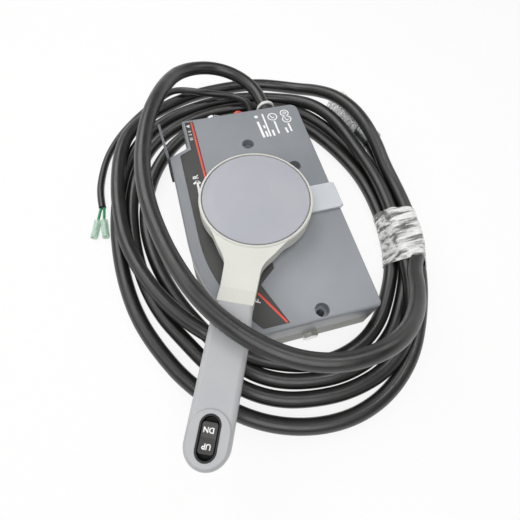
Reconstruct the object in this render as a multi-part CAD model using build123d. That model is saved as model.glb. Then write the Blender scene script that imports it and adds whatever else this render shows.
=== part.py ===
"""Side-mount boat throttle and shift control lever with its wiring harness.

The box lies on its mounting back: +Z points out of the boat side towards the driver, the origin is
where the hub axis meets the mounting plane, +Y runs along the box towards its aft end (key switch,
stop switch, harness) and -Y towards the bow. Lengths are millimetres, angles degrees.
"""
from build123d import *
import math
import os

# ---------------------------------------------------------------- housing, driving dimensions
BOX_RIGHT = 75.0            # lower edge of the box when it is mounted
BOX_LEFT = -64.0            # upper edge
BOX_AFT = 119.0
BOX_FORE = -111.0
SPLIT_Z = 22.0              # joint between the back body and the front cover
FACE_Z = 45.0               # front face above the mounting plane
COVER_WALL = 2.5
BODY_WALL = 3.0
COVER_ARC_TOP = -18.0       # where the fore-left arc leaves the straight edge
COVER_ARC_END = -26.0       # x where that arc meets the fore end
BODY_ARC_TOP = -30.0
BODY_ARC_END = -32.0
NOTCH_X = -45.5             # cable notch at the aft-left corner
NOTCH_LOW_Y = 75.0
NOTCH_HIGH_Y = 83.5
AFT_CORNER_R = 8.0
FORE_CORNER_R = 4.0
SMALL_CORNER_R = 2.0
FACE_EDGE_R = 1.8

# indicator recess and its plate
RECESS_DEPTH = 1.2
PLATE_THICK = 0.8
RIM_SIDE = 10.0             # rim beside the straight edge
RIM_ARC = 6.0               # rim beside the arc
RIM_NOTCH = 3.0
RIM_END = 3.0
RIM_FORE = 4.5
PANEL_X = -34.0             # left edge of the raised panel
PANEL_TURN = (-14.5, -71.0)
PANEL_FOOT = (-1.0, -106.5)
PANEL_HUB_Y = -59.5         # where the panel edge would cross the hub axis
HUB_CLEAR_R = 46.0          # round recess below the lever hub
PLATE_GAP = 0.15

# mounting bolts pass right through the box
MOUNT_HOLES = ((12.5, 75.0), (49.0, 39.0), (26.5, -103.0))
MOUNT_HOLE_R = 3.3
COUNTERBORE_R = 5.8
COUNTERBORE_DEPTH = 8.0
TOWER_WALL = 2.0

# screws that hold the cover to the body
COVER_SCREWS = ((64.0, 104.0), (64.0, -98.0), (-53.5, 60.0), (-34.5, 108.0), (-44.0, -62.0))
SCREW_SHANK_R = 2.0
SCREW_HEAD_R = 4.0
SCREW_HEAD_H = 2.4
SCREW_BOSS_R = 4.6
SCREW_PLAY = 0.1
SCREW_TOP_Z = 36.0

# cable guard strip beside the notch
GUARD_FOOT_Y = 57.0
GUARD_BEND_Y = 76.0
GUARD_TIP = (-69.0, 121.0)
GUARD_THICK = 2.4
GUARD_LOW_Z = 31.0
GUARD_TOP_Z = 44.0

# ---------------------------------------------------------------- hub axis
SHAFT_R = 7.0
RUN_GAP = 0.05              # running fit, radial
FRONT_BUSH_R = 11.0
BUSH_FLANGE_R = 13.5
BUSH_FLANGE_H = 1.5
BUSH_LOW_Z = 34.0
FRONT_BOSS_R = 15.0
REAR_BUSH_R = 9.0
REAR_BOSS_R = 12.0
REAR_BUSH_TOP = 13.0
SHAFT_LOW_Z = 4.2
SEAT_SIDE = 9.4             # square seat of the lever on the shaft
SEAT_PLAY = 0.05
BOLT_R = 3.0
BOLT_HEAD_AF = 11.0
BOLT_HEAD_H = 2.2
WASHER_R = 9.0
WASHER_H = 1.2

# neutral throttle lever, flat on the face
BAND_LOW_GAP = 0.4
BAND_THICK = 2.6
BAND_ROLL_R = 1.7
BAND_END_X = 75.3
BAND_LOW_Y = -16.8
BAND_HIGH_Y = 10.5
BAND_RING_R = 20.0
BUSH_TOP_GAP = 0.2          # bush stands this far above the neutral throttle lever

# ---------------------------------------------------------------- lever
LEVER_ANGLE = 246.0         # direction of the lever at rest, from +X
HUB_R = 48.5
HUB_LOW_GAP = 0.3           # hub above the bush
HUB_TOP_Z = 63.0
HUB_EDGE_R = 1.8
CAP_R = 45.4
CAP_POCKET_R = 46.3
CAP_THICK = 3.2
CAP_CROWN = 0.3
BOLT_POCKET_R = 12.0
SEAT_TOP_Z = 56.0
HUB_BOSS_R = 16.0
HUB_SKIRT_R = 43.0
HUB_HOLLOW_TOP = 55.5
RIB_HALF = 1.5
FLARE_START = (34.0, 34.6)
FLARE_MID = (50.5, 22.4)
FLARE_END = (68.0, 14.2)
NECK_HALF = 13.2
CRANK_START_R = 84.0
GRIP_START_R = 98.0
GRIP_TOP_Z = 70.5
GRIP_LOW_Z = 47.0
NECK_LOW_Z = 49.5
TONGUE_END_R = 152.0
TONGUE_HALF = 8.5
TONGUE_LOW_Z = 57.0
TONGUE_TOP_Z = 66.5
ROD_GROOVE_HALF = 2.3
ROD_GROOVE_TOP = 56.0

# grip shells
GRIP_HALF = 14.75
GRIP_FULL_R = 115.0         # where the grip reaches its full width
GRIP_END_R = 203.0
GRIP_SPLIT_Z = 58.5
GRIP_EDGE_R = 4.0
GRIP_WALL = 2.6
COLLAR_HALF = 13.2
COLLAR_RISE = 1.5
COLLAR_EDGE_R = 0.7
GRIP_SCREW_IN = 7.0         # behind the grip's inner end, and beyond the tongue
GRIP_SCREW_OUT = 6.0
GRIP_SCREW_SIDE = 6.4
GRIP_SCREWS = (
    (GRIP_START_R + GRIP_SCREW_IN, GRIP_SCREW_SIDE), (GRIP_START_R + GRIP_SCREW_IN, -GRIP_SCREW_SIDE),
    (TONGUE_END_R + GRIP_SCREW_OUT, 0.0))
GRIP_SCREW_R = 1.6
GRIP_SCREW_HEAD_R = 3.2
GRIP_SCREW_HEAD_H = 1.8
GRIP_SCREW_TOP = 63.0
GRIP_BOSS_R = 3.6

# trim switch
SWITCH_R = 184.5            # centre of the switch from the hub axis
SWITCH_LENGTH = 27.0
COLLAR_MARGIN = 3.0         # collar's start before the switch
COLLAR_START_R = SWITCH_R - SWITCH_LENGTH / 2 - COLLAR_MARGIN
SWITCH_WIDTH = 13.4
SWITCH_GAP = 0.1
SWITCH_LOW_Z = 60.0
SWITCH_POCKET = (24.6, 11.0)
SWITCH_FLOOR_Z = 62.4
ROCKER_LENGTH = 17.6
ROCKER_WIDTH = 9.7
ROCKER_CORNER_R = 1.8
ROCKER_PIVOT_Z = 66.0
ROCKER_TOP_MID = 4.9        # above the pivot, middle and ends
ROCKER_TOP_END = 5.9
ROCKER_BELLY = 2.0
ROCKER_PIN_R = 1.4

# interlock trigger
TRIGGER_R = (120.0, 140.0)
TRIGGER_HALF = 5.0
TRIGGER_LOW_Z = 41.8
TRIGGER_STROKE = 7.0
TRIGGER_GAP = 0.3
SHOE_LENGTH = 27.0
SHOE_HALF = 7.0
SHOE_TOP_Z = 55.0
ROD_R = 1.8
ROD_Z = 53.0
ROD_INNER_R = 22.0

# ---------------------------------------------------------------- mechanism
GEAR_MODULE = 2.0
PINION_TEETH = 16
SECTOR_TEETH = 40
BACKLASH = 0.3
ADDENDUM = 0.8              # of the module
DEDENDUM = 1.2
PRESSURE_ANGLE = 20.0
GEAR_LOW_Z = 15.0
GEAR_TOP_Z = 21.0
SHIFT_AXLE_ANGLE = 149.7    # direction of the shift axle from the hub axis
THROTTLE_AXLE_ANGLE = -23.1
SECTOR_HALF_SPAN = 43.0
SECTOR_SHIFT = -16.4        # middle of the teeth from the line of centres
SECTOR_HUB_R = 8.5
SECTOR_WINDOW = (14.0, 32.0)
SECTOR_WINDOW_HALF = 26.0
AXLE_R = 4.0
AXLE_FLANGE_R = 7.0
AXLE_TOP_Z = 26.0
SIDE_GAP = 0.2
ARM_LENGTH = 40.0
ARM_HALF = 6.0
ARM_THICK = 3.0
ARM_PIN_R = 2.5
ARM_PIN_H = 5.0
SHIFT_ARM_ANGLE = 29.0
THROTTLE_ARM_ANGLE = 235.0
DETENT_R = 22.0
DETENT_THICK = 4.0
DETENT_ROLLER_R = 4.0
DETENT_ANGLE = 238.0
DETENT_GAP = 0.2
DETENT_STEPS = (-19.0, -51.0, -83.0)    # forward, neutral and reverse gate from the rest position
LEAF_THICK = 0.8
LEAF_LENGTH = 40.0
POST_R = 2.5
MICROSWITCH = (18.0, 10.0, 6.0)
MICROSWITCH_AT = (5.0, 25.0)  # middle of its near face

# ---------------------------------------------------------------- aft end fittings
FITTING_Z = 33.5
KEY_X = -13.0
KEY_BODY_R = 8.5
KEY_BODY_LENGTH = 32.0
KEY_THREAD_R = 7.5
KEY_THREAD_END = 121.6
KEY_NUT_R = 10.8
KEY_NUT_H = 3.0
KEY_NUT_BEVEL = 0.8
KEY_BARREL_R = 5.5
KEY_SLOT = (1.6, 7.0, 4.0)
STOP_X = 14.5
STOP_BODY_R = 8.0
STOP_BODY_LENGTH = 16.0
STOP_THREAD_R = 6.0
STOP_NUT_R = 8.6
STOP_NUT_H = 2.5
STOP_STEM_R = 3.5
STOP_CAP_R = 5.6
STOP_CAP = (124.2, 128.2)
HARNESS_X = 46.0
GROMMET_HOLE_R = 8.5
GROMMET_FLANGE_R = 10.0
GROMMET_INNER_R = 8.9
GROMMET_TIP_R = 7.9
GROMMET_END = 133.0
TIE_R = 9.6
TIE_SPAN = (128.0, 131.0)
AUX_X = 30.0
AUX_Z = 31.0
AUX_GROMMET_R = 5.5
AUX_GROMMET_LENGTH = 5.0
WALL_PLAY = 0.1

# friction adjuster on the fore end
FRICTION_AT = (19.0, 11.0)  # x, z
FRICTION_R = 2.5
FRICTION_HEAD_AF = 12.0
FRICTION_HEAD_H = 4.0
FRICTION_IN = 16.0

# ---------------------------------------------------------------- harness
HARNESS_D = 13.0
AUX_D = 7.0
COIL_LOW_Z = 1.2
CORD_GAP = 0.3
COIL_TOP_Z = 26.0
COIL_EDGE = 4.0
FILM_THICK = 0.8
WRAP_SPAN = (-68.0, -8.0)
WRAP_X = 135.0              # near the middle of the wrapped bundle
WRAP_REACH = 50.0
# from the grommet, over the lever's whole sweep, down to the bundle
LEAD_POINTS = [
    (46, 113, 33.5), (46, 142, 33.5), (40, 165, 36), (24, 183, 40), (4, 191.5, 44), (-17, 188, 50),
    (-36, 174, 58), (-49, 152, 67), (-60, 126, 75.5), (-72, 97, 80), (-81, 66, 81), (-86, 34, 81.5),
    (-86, 2, 81), (-81.5, -28, 81), (-75, -54, 81), (-65, -81, 81.5), (-50, -105, 81), (-31, -126, 81),
    (-8, -142, 81), (18, -150, 81), (46, -149, 80), (72, -140, 69), (94, -124, 54), (111, -104, 40),
    (121, -85, 27.5), (126, -66, 16.5)]
# outer and inner edge of the coiled turns, seen from above
COIL_OUTER = [
    (-4, 199), (58, 210), (108, 196), (147, 158), (165, 115), (171, 68), (167, 28), (159, -8), (155, -42),
    (148, -84), (119, -136), (86, -171), (50, -188), (4, -194), (-50, -176), (-92, -140), (-116, -93),
    (-131, -40), (-134, 20), (-130, 75), (-117, 124), (-90, 158), (-50, 181)]
COIL_INNER = [
    (-20, 142), (-48, 134), (-66, 113), (-81, 83), (-93, 45), (-96, 10), (-90, -25), (-79, -58), (-60, -92),
    (-34, -118), (4, -134), (46, -136), (80, -122), (102, -92), (111, -62), (111, -34), (117, -8), (122, 20),
    (119, 58), (111, 92), (98, 124), (68, 142), (24, 146)]
AUX_POINTS = [
    (30, 117, 31), (30, 133, 31), (33, 149, 31.5), (28, 165, 32), (12, 176, 33), (-9, 182, 33.5),
    (-29, 194, 29), (-46, 204, 17), (-62, 203, 6), (-80, 191, 3.6), (-98, 174, 3.7), (-116, 153, 3.6),
    (-130, 128, 3.7), (-138, 101, 3.6), (-141, 80, 3.7), (-140, 64, 3.6)]
# the outermost turn climbs over the plug
SADDLE_POINTS = [
    (117, 162, 19), (130, 139, 28.5), (139, 112, 34.4), (144.5, 85, 34.3), (148.5, 59, 28.5), (151, 32, 19)]
PLUG_AT = (150.0, 99.0)
PLUG_ANGLE = 104.0
PLUG_R = 11.5
PLUG_LENGTH = 46.0
PLUG_COLLAR = 3.0
PLUG_COLLAR_R = 12.2
BULLET_FEET = ((-145.5, 49.0), (-139.8, 48.0))
BULLET_TIPS = ((-150.5, 31.0), (-139.5, 29.0))
BULLET_R = 3.5
BULLET_BORE_R = 2.4
BULLET_PIN_R = 2.0
WIRE_R = 1.3
WIRE_SPACING = 1.6


# ---------------------------------------------------------------- small helpers
def drum(radius, low, high, at=(0.0, 0.0)):
    """Upright cylinder between two heights."""
    return Pos(at[0], at[1], low) * Cylinder(radius, high - low, align=(Align.CENTER, Align.CENTER, Align.MIN))


def tube(outer, inner, low, high, at=(0.0, 0.0)):
    """Upright tube between two heights."""
    return drum(outer, low, high, at) - drum(inner, low - 1, high + 1, at)


def rod_between(start, end, radius, end_radius=None):
    """Round bar, or cone, between two points."""
    axis = Vector(*end) - Vector(*start)
    align = (Align.CENTER, Align.CENTER, Align.MIN)
    if end_radius is None:
        solid = Cylinder(radius, axis.length, align=align)
    else:
        solid = Cone(radius, end_radius, axis.length, align=align)
    return Plane(origin=start, z_dir=axis) * solid


def rod_y(x, z, radius, low, high):
    """Round bar along Y."""
    return rod_between((x, low, z), (x, high, z), radius)


def block(x, y, z):
    """Box from three (low, high) pairs."""
    size = [pair[1] - pair[0] for pair in (x, y, z)]
    return Pos(x[0], y[0], z[0]) * Box(*size, align=(Align.MIN, Align.MIN, Align.MIN))


def slab(face, low, high):
    """Extrude a flat face between two heights."""
    return Pos(0, 0, low) * extrude(face, high - low)


def polygon(points):
    """Flat face inside straight lines."""
    return make_face(Polyline(*points, close=True))


def on_lever(solid):
    """Turn a piece drawn along +X into the lever's rest direction."""
    return Rot(0, 0, LEVER_ANGLE) * solid


def polar(radius, angle, centre=(0.0, 0.0)):
    """Point at a distance and direction from a centre."""
    turn = math.radians(angle)
    return (centre[0] + radius * math.cos(turn), centre[1] + radius * math.sin(turn))


def round_corner(face, point, radius):
    """Fillet the corner of a face that lies nearest to a point."""
    corner = face.vertices().sort_by_distance((point[0], point[1], 0))[0]
    return fillet(corner, radius)


def save(name, shape):
    """Write one node."""
    shape.label = name
    export_step(shape, f"parts/{name}.step")


# ---------------------------------------------------------------- housing
def housing_outline(arc_top, arc_end):
    """Plan of the box: straight sides, the fore-left arc and the aft-left cable notch."""
    lines = [
        Line((BOX_RIGHT, BOX_FORE), (BOX_RIGHT, BOX_AFT)),
        Line((BOX_RIGHT, BOX_AFT), (NOTCH_X, BOX_AFT)),
        Line((NOTCH_X, BOX_AFT), (NOTCH_X, NOTCH_HIGH_Y)),
        Line((NOTCH_X, NOTCH_HIGH_Y), (BOX_LEFT, NOTCH_LOW_Y)),
        Line((BOX_LEFT, NOTCH_LOW_Y), (BOX_LEFT, arc_top)),
        TangentArc((BOX_LEFT, arc_top), (arc_end, BOX_FORE), tangent=(0, -1)),
        Line((arc_end, BOX_FORE), (BOX_RIGHT, BOX_FORE))]
    face = make_face(lines)
    face = round_corner(face, (BOX_RIGHT, BOX_AFT), AFT_CORNER_R)
    face = round_corner(face, (BOX_RIGHT, BOX_FORE), FORE_CORNER_R)
    face = round_corner(face, (NOTCH_X, BOX_AFT), SMALL_CORNER_R)
    face = round_corner(face, (BOX_LEFT, NOTCH_LOW_Y), SMALL_CORNER_R)
    return round_corner(face, (arc_end, BOX_FORE), SMALL_CORNER_R)


def recess_outline(gap=0.0):
    """Plan of the recess for the indicator plate, drawn in from it by a gap."""
    arc_u = COVER_ARC_END - BOX_LEFT
    arc_h = BOX_FORE - COVER_ARC_TOP
    arc_r = (arc_u ** 2 + arc_h ** 2) / (2 * arc_u)
    inner_r = arc_r - RIM_ARC - gap
    left = BOX_LEFT + RIM_SIDE + gap
    right = PANEL_X - gap
    foot_y = BOX_FORE + RIM_FORE + gap
    foot_x = BOX_LEFT + arc_r - math.sqrt(inner_r ** 2 - (foot_y - COVER_ARC_TOP) ** 2)
    notch_line = NOTCH_X + RIM_NOTCH + gap
    top_y = BOX_AFT - RIM_END - gap
    panel_foot = (PANEL_FOOT[0] - 1.5 * gap, foot_y)
    panel_turn = (PANEL_TURN[0] - gap, PANEL_TURN[1] + gap)
    lines = [
        Line((notch_line, top_y), (notch_line, NOTCH_HIGH_Y - RIM_NOTCH)),
        Line((notch_line, NOTCH_HIGH_Y - RIM_NOTCH), (left, NOTCH_LOW_Y)),
        Line((left, NOTCH_LOW_Y), (left, COVER_ARC_TOP)),
        TangentArc((left, COVER_ARC_TOP), (foot_x, foot_y), tangent=(0, -1)),
        Polyline((foot_x, foot_y), panel_foot, panel_turn, (0.0, PANEL_HUB_Y), (0.0, 0.0), (right, 0.0),
                 (right, top_y), (notch_line, top_y))]
    return make_face(lines) + Circle(HUB_CLEAR_R - gap)


def front_cover():
    """Moulded shell with its raised panel, indicator recess, hub boss and bolt towers."""
    plan = housing_outline(COVER_ARC_TOP, COVER_ARC_END)
    shell = slab(plan, SPLIT_Z, FACE_Z)
    shell = fillet(shell.faces().sort_by(Axis.Z)[-1].edges(), FACE_EDGE_R)
    cavity = slab(offset(plan, amount=-COVER_WALL, kind=Kind.INTERSECTION), SPLIT_Z, FACE_Z - COVER_WALL)
    towers = [drum(COUNTERBORE_R + TOWER_WALL, SPLIT_Z, FACE_Z - COVER_WALL, at) for at in MOUNT_HOLES]
    bosses = [drum(SCREW_BOSS_R, SPLIT_Z, FACE_Z - COVER_WALL, at) for at in COVER_SCREWS]
    solids = (slab(plan, SPLIT_Z, FACE_Z - COVER_WALL)) & Compound((Part() + towers + bosses).solids())
    shell = shell - cavity + solids + drum(FRONT_BOSS_R, BUSH_LOW_Z, FACE_Z - COVER_WALL)
    shell -= slab(recess_outline(), FACE_Z - RECESS_DEPTH, FACE_Z + 1)
    shell -= drum(FRONT_BUSH_R, BUSH_LOW_Z - 1, FACE_Z + 1)
    for at in MOUNT_HOLES:
        shell -= drum(MOUNT_HOLE_R, SPLIT_Z - 1, FACE_Z + 1, at)
        shell -= drum(COUNTERBORE_R, FACE_Z - COUNTERBORE_DEPTH, FACE_Z + 1, at)
    for at in COVER_SCREWS:
        shell -= drum(SCREW_SHANK_R + SCREW_PLAY, SPLIT_Z - 1, SCREW_TOP_Z + 1, at)
    for x, radius in ((KEY_X, KEY_THREAD_R), (STOP_X, STOP_THREAD_R), (HARNESS_X, GROMMET_HOLE_R)):
        shell -= rod_y(x, FITTING_Z, radius + WALL_PLAY, BOX_AFT - COVER_WALL - 1, BOX_AFT + 1)
    shell -= rod_y(AUX_X, AUX_Z, AUX_D / 2 + 1.0 + WALL_PLAY, BOX_AFT - COVER_WALL - 1, BOX_AFT + 1)
    shell -= block((NOTCH_X - 2, NOTCH_X + COVER_WALL + 1), (90.0, 110.0), (SPLIT_Z, 34.0))
    return shell


def back_body():
    """Die-cast tray with the bosses that carry the mechanism and the bolt towers."""
    plan = housing_outline(BODY_ARC_TOP, BODY_ARC_END)
    outer = slab(plan, 0, SPLIT_Z)
    cavity = slab(offset(plan, amount=-BODY_WALL, kind=Kind.INTERSECTION), BODY_WALL, SPLIT_Z + 1)
    towers = [drum(MOUNT_HOLE_R + TOWER_WALL, BODY_WALL, SPLIT_Z, at) for at in MOUNT_HOLES]
    bosses = [drum(SCREW_BOSS_R, BODY_WALL, SPLIT_Z, at) for at in COVER_SCREWS]
    inner = outer & Compound((Part() + towers + bosses).solids())
    body = outer - cavity + inner + drum(REAR_BOSS_R, BODY_WALL, REAR_BUSH_TOP)
    pad_x, pad_y = MICROSWITCH_AT
    body += block((pad_x - 8, pad_x + 8), (pad_y, pad_y + 7), (BODY_WALL, GEAR_TOP_Z + SIDE_GAP))
    friction_x, friction_z = FRICTION_AT
    boss_end = BOX_FORE + FRICTION_IN - 2
    body += rod_y(friction_x, friction_z, FRICTION_R + 3, BOX_FORE + BODY_WALL, boss_end)
    body -= rod_y(friction_x, friction_z, FRICTION_R + RUN_GAP, BOX_FORE - 1, boss_end + 1)
    body -= drum(REAR_BUSH_R, BODY_WALL, REAR_BUSH_TOP + 1)
    for at in MOUNT_HOLES:
        body -= drum(MOUNT_HOLE_R, -1, SPLIT_Z + 1, at)
    for at in COVER_SCREWS:
        body -= drum(SCREW_SHANK_R + SCREW_PLAY, -1, SPLIT_Z + 1, at)
        body -= drum(SCREW_HEAD_R + SCREW_PLAY, -1, SCREW_HEAD_H + SCREW_PLAY, at)
    return body


def cover_screws():
    """Five pan screws through the back body into the cover's bosses."""
    screws = []
    for at in COVER_SCREWS:
        head = drum(SCREW_HEAD_R, SCREW_PLAY, SCREW_HEAD_H + SCREW_PLAY, at)
        screws.append(head + drum(SCREW_SHANK_R, SCREW_HEAD_H, SCREW_TOP_Z, at))
    return Compound(screws)


def dial_plate():
    """Thin indicator plate in the cover's recess, open round the bush."""
    face = recess_outline(PLATE_GAP) - Circle(FRONT_BUSH_R + 1)
    low = FACE_Z - RECESS_DEPTH
    return slab(face, low, low + PLATE_THICK)


def cable_guard():
    """Upright strip from the cover's left wall past the cable notch."""
    tip_x, tip_y = GUARD_TIP
    outline = [(BOX_LEFT, GUARD_FOOT_Y), (BOX_LEFT, GUARD_BEND_Y), (tip_x + GUARD_THICK, tip_y), GUARD_TIP,
               (BOX_LEFT - GUARD_THICK, GUARD_BEND_Y), (BOX_LEFT - GUARD_THICK, GUARD_FOOT_Y)]
    return slab(polygon(outline), GUARD_LOW_Z, GUARD_TOP_Z)


def front_bush():
    """Flanged bush in the cover's boss; the neutral throttle lever turns on its upper end."""
    top = FACE_Z + BAND_LOW_GAP + BAND_THICK + BUSH_TOP_GAP
    bush = tube(FRONT_BUSH_R, SHAFT_R + RUN_GAP, BUSH_LOW_Z, top)
    return bush + tube(BUSH_FLANGE_R, SHAFT_R + RUN_GAP, BUSH_LOW_Z - BUSH_FLANGE_H, BUSH_LOW_Z)


def rear_bush():
    """Plain bush in the body's boss."""
    return tube(REAR_BUSH_R, SHAFT_R + RUN_GAP, BODY_WALL, REAR_BUSH_TOP)


# ---------------------------------------------------------------- mechanism
def involute_tooth(teeth):
    """One tooth of an external gear, pointing along +X, thinned by half of the backlash."""
    pitch = GEAR_MODULE * teeth / 2
    base = pitch * math.cos(math.radians(PRESSURE_ANGLE))
    tip = pitch + ADDENDUM * GEAR_MODULE
    root = pitch - DEDENDUM * GEAR_MODULE

    def flank_angle(radius):
        alpha = math.acos(min(1.0, base / radius))
        return math.tan(alpha) - alpha

    half = (math.pi * GEAR_MODULE / 2 - BACKLASH / 2) / (2 * pitch) + flank_angle(pitch)
    start = max(base, root)
    radii = [start + (tip - start) * step / 3 for step in range(4)]
    upper = [(r * math.cos(half - flank_angle(r)), r * math.sin(half - flank_angle(r))) for r in radii]
    foot = ((root - 0.5) * math.cos(half), (root - 0.5) * math.sin(half))
    points = [foot] + upper
    mirrored = [(x, -y) for x, y in reversed(points)]
    return polygon(points + mirrored)


def pinion_face():
    """Full gear for the shaft, with a tooth pointing at the shift axle."""
    tooth = involute_tooth(PINION_TEETH)
    root = GEAR_MODULE * PINION_TEETH / 2 - DEDENDUM * GEAR_MODULE
    pitch_angle = 360 / PINION_TEETH
    teeth = [Rot(0, 0, SHIFT_AXLE_ANGLE + pitch_angle * index) * tooth for index in range(PINION_TEETH)]
    return Circle(root) + teeth


def axle_at(angle):
    """Centre of a sector's axle."""
    return polar(GEAR_MODULE * (PINION_TEETH + SECTOR_TEETH) / 2, angle)


def sector(axle_angle):
    """Toothed sector that meshes with the shaft's gear, with a lightening window."""
    root = GEAR_MODULE * SECTOR_TEETH / 2 - DEDENDUM * GEAR_MODULE
    pitch_angle = 360 / SECTOR_TEETH
    # the gap between two teeth faces a tooth of the pinion on the line of centres
    pinion_phase = (axle_angle - SHIFT_AXLE_ANGLE) % (360 / PINION_TEETH)
    phase = axle_angle + 180 + pitch_angle / 2 + pinion_phase * PINION_TEETH / SECTOR_TEETH
    middle = axle_angle + 180 + SECTOR_SHIFT
    tooth = involute_tooth(SECTOR_TEETH)
    span = SECTOR_HALF_SPAN + pitch_angle / 2
    wedge_reach = 2 * root
    rays = [polar(wedge_reach, middle + turn) for turn in (-span, 0, span)]
    face = (Circle(root) & polygon([(0, 0)] + rays)) + Circle(SECTOR_HUB_R)
    for index in range(-SECTOR_TEETH // 2, SECTOR_TEETH // 2):
        direction = phase + pitch_angle * index
        if abs((direction - middle + 180) % 360 - 180) <= SECTOR_HALF_SPAN:
            face += Rot(0, 0, direction) * tooth
    inner, outer = SECTOR_WINDOW
    window_rays = [polar(wedge_reach, middle + turn) for turn in (-SECTOR_WINDOW_HALF, 0, SECTOR_WINDOW_HALF)]
    window = (Circle(outer) - Circle(inner)) & polygon([(0, 0)] + window_rays)
    face = face - window - Circle(AXLE_R + RUN_GAP)
    return Pos(*axle_at(axle_angle), 0) * slab(face, GEAR_LOW_Z, GEAR_TOP_Z)


def sector_arm(axle_angle, direction):
    """Arm on a sector, with the pin that a control cable end clips on."""
    x, y = axle_at(axle_angle)
    tip = polar(ARM_LENGTH, direction)
    edge = [polar(ARM_HALF, direction + 90), polar(ARM_HALF, direction - 90)]
    face = polygon([edge[0], (tip[0] + edge[0][0], tip[1] + edge[0][1]),
                    (tip[0] + edge[1][0], tip[1] + edge[1][1]), edge[1]])
    face = face + Circle(SECTOR_HUB_R) + Pos(*tip) * Circle(ARM_HALF) - Circle(AXLE_R + RUN_GAP)
    arm = slab(face, GEAR_TOP_Z, GEAR_TOP_Z + ARM_THICK)
    return Pos(x, y, 0) * (arm + drum(ARM_PIN_R, GEAR_TOP_Z, GEAR_TOP_Z + ARM_THICK + ARM_PIN_H, tip))


def sector_axle(axle_angle):
    """Shoulder screw that a sector and its arm turn on."""
    at = axle_at(axle_angle)
    head_low = GEAR_TOP_Z + ARM_THICK + SIDE_GAP
    return drum(AXLE_R, BODY_WALL, AXLE_TOP_Z, at) + drum(AXLE_FLANGE_R, head_low, AXLE_TOP_Z, at)


def pivot_boss(axle_angle):
    """Boss on the body's floor that carries a sector's axle."""
    return tube(AXLE_FLANGE_R, AXLE_R + SEAT_PLAY, BODY_WALL, GEAR_LOW_Z - SIDE_GAP, axle_at(axle_angle))


def main_shaft():
    """Shaft from the rear bush to the lever, with the lever's square seat and the bolt's thread."""
    seat_low = FACE_Z + BAND_LOW_GAP + BAND_THICK + BUSH_TOP_GAP + HUB_LOW_GAP
    square = Rot(0, 0, LEVER_ANGLE) * Rectangle(SEAT_SIDE, SEAT_SIDE)
    shaft = drum(SHAFT_R, SHAFT_LOW_Z, seat_low) + slab(square, seat_low, SEAT_TOP_Z - SEAT_PLAY)
    return shaft - drum(BOLT_R + SEAT_PLAY, BUSH_LOW_Z, SEAT_TOP_Z + 1)


def drive_gear():
    """Gear on the shaft that drives both sectors."""
    return slab(pinion_face() - Circle(SHAFT_R + SEAT_PLAY), GEAR_LOW_Z, GEAR_TOP_Z)


def detent_plate():
    """Plate with the forward, neutral and reverse notches."""
    face = Circle(DETENT_R) - Circle(SHAFT_R + SEAT_PLAY)
    seat = DETENT_R + DETENT_ROLLER_R - 1.6
    for step in DETENT_STEPS:
        face -= Pos(*polar(seat, DETENT_ANGLE - step)) * Circle(DETENT_ROLLER_R + DETENT_GAP)
    return slab(face, GEAR_TOP_Z, GEAR_TOP_Z + DETENT_THICK)


def detent_frame():
    """Frame at the detent roller: X outwards from the hub axis, Z along the shaft."""
    at = polar(DETENT_R + DETENT_ROLLER_R + DETENT_GAP, DETENT_ANGLE)
    return Pos(at[0], at[1], GEAR_TOP_Z + DETENT_THICK / 2) * Rot(0, 0, DETENT_ANGLE)


def leaf_face_x():
    """Inner face of the leaf, outwards from the roller's centre."""
    return DETENT_ROLLER_R + 0.6


def detent_spring():
    """Leaf with two ears and the pin that carries the roller."""
    half_h = DETENT_THICK / 2 + 1.0
    leaf = block((leaf_face_x(), leaf_face_x() + LEAF_THICK), (-LEAF_LENGTH / 2, LEAF_LENGTH / 2),
                 (-half_h, half_h))
    ear = block((-2.0, leaf_face_x()), (-2.5, 2.5), (half_h - 1.0, half_h))
    pin = drum(1.2, -half_h, half_h)
    return detent_frame() * (leaf + ear + mirror(ear, Plane.XY) + pin)


def detent_roller():
    """Roller between the leaf's ears."""
    half_h = DETENT_THICK / 2 - SIDE_GAP
    return detent_frame() * tube(DETENT_ROLLER_R, 1.2 + RUN_GAP, -half_h, half_h)


def detent_posts():
    """Two slotted posts on the body's floor that hold the ends of the leaf."""
    frame = detent_frame()
    middle = leaf_face_x() + LEAF_THICK / 2
    low = BODY_WALL - frame.position.Z
    high = DETENT_THICK / 2 + 1.0
    slot = block((middle - LEAF_THICK / 2 - SEAT_PLAY, middle + LEAF_THICK / 2 + SEAT_PLAY),
                 (-LEAF_LENGTH, LEAF_LENGTH), (-high - SEAT_PLAY, high + 1))
    posts = [drum(POST_R, low, high, (middle, side * (LEAF_LENGTH / 2 - POST_R))) - slot for side in (-1, 1)]
    return Compound([frame * post for post in posts])


def neutral_switch():
    """Microswitch on its pad, with the plunger beside the detent plate."""
    length, depth, height = MICROSWITCH
    x, y = MICROSWITCH_AT
    low = GEAR_TOP_Z + SIDE_GAP
    case = block((x - length / 2, x + length / 2), (y, y + depth), (low, low + height))
    rim = math.sqrt((DETENT_R + DETENT_GAP) ** 2 - (abs(x) - 1.2) ** 2) + DETENT_GAP
    plunger = rod_y(x, low + 1.8, 1.2, rim, y)
    tags = [block((x + step, x + step + 3), (y + depth, y + depth + 4), (low + 2.6, low + 3.4))
            for step in (-7.5, -1.5, 4.5)]
    return case + plunger + tags


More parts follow.
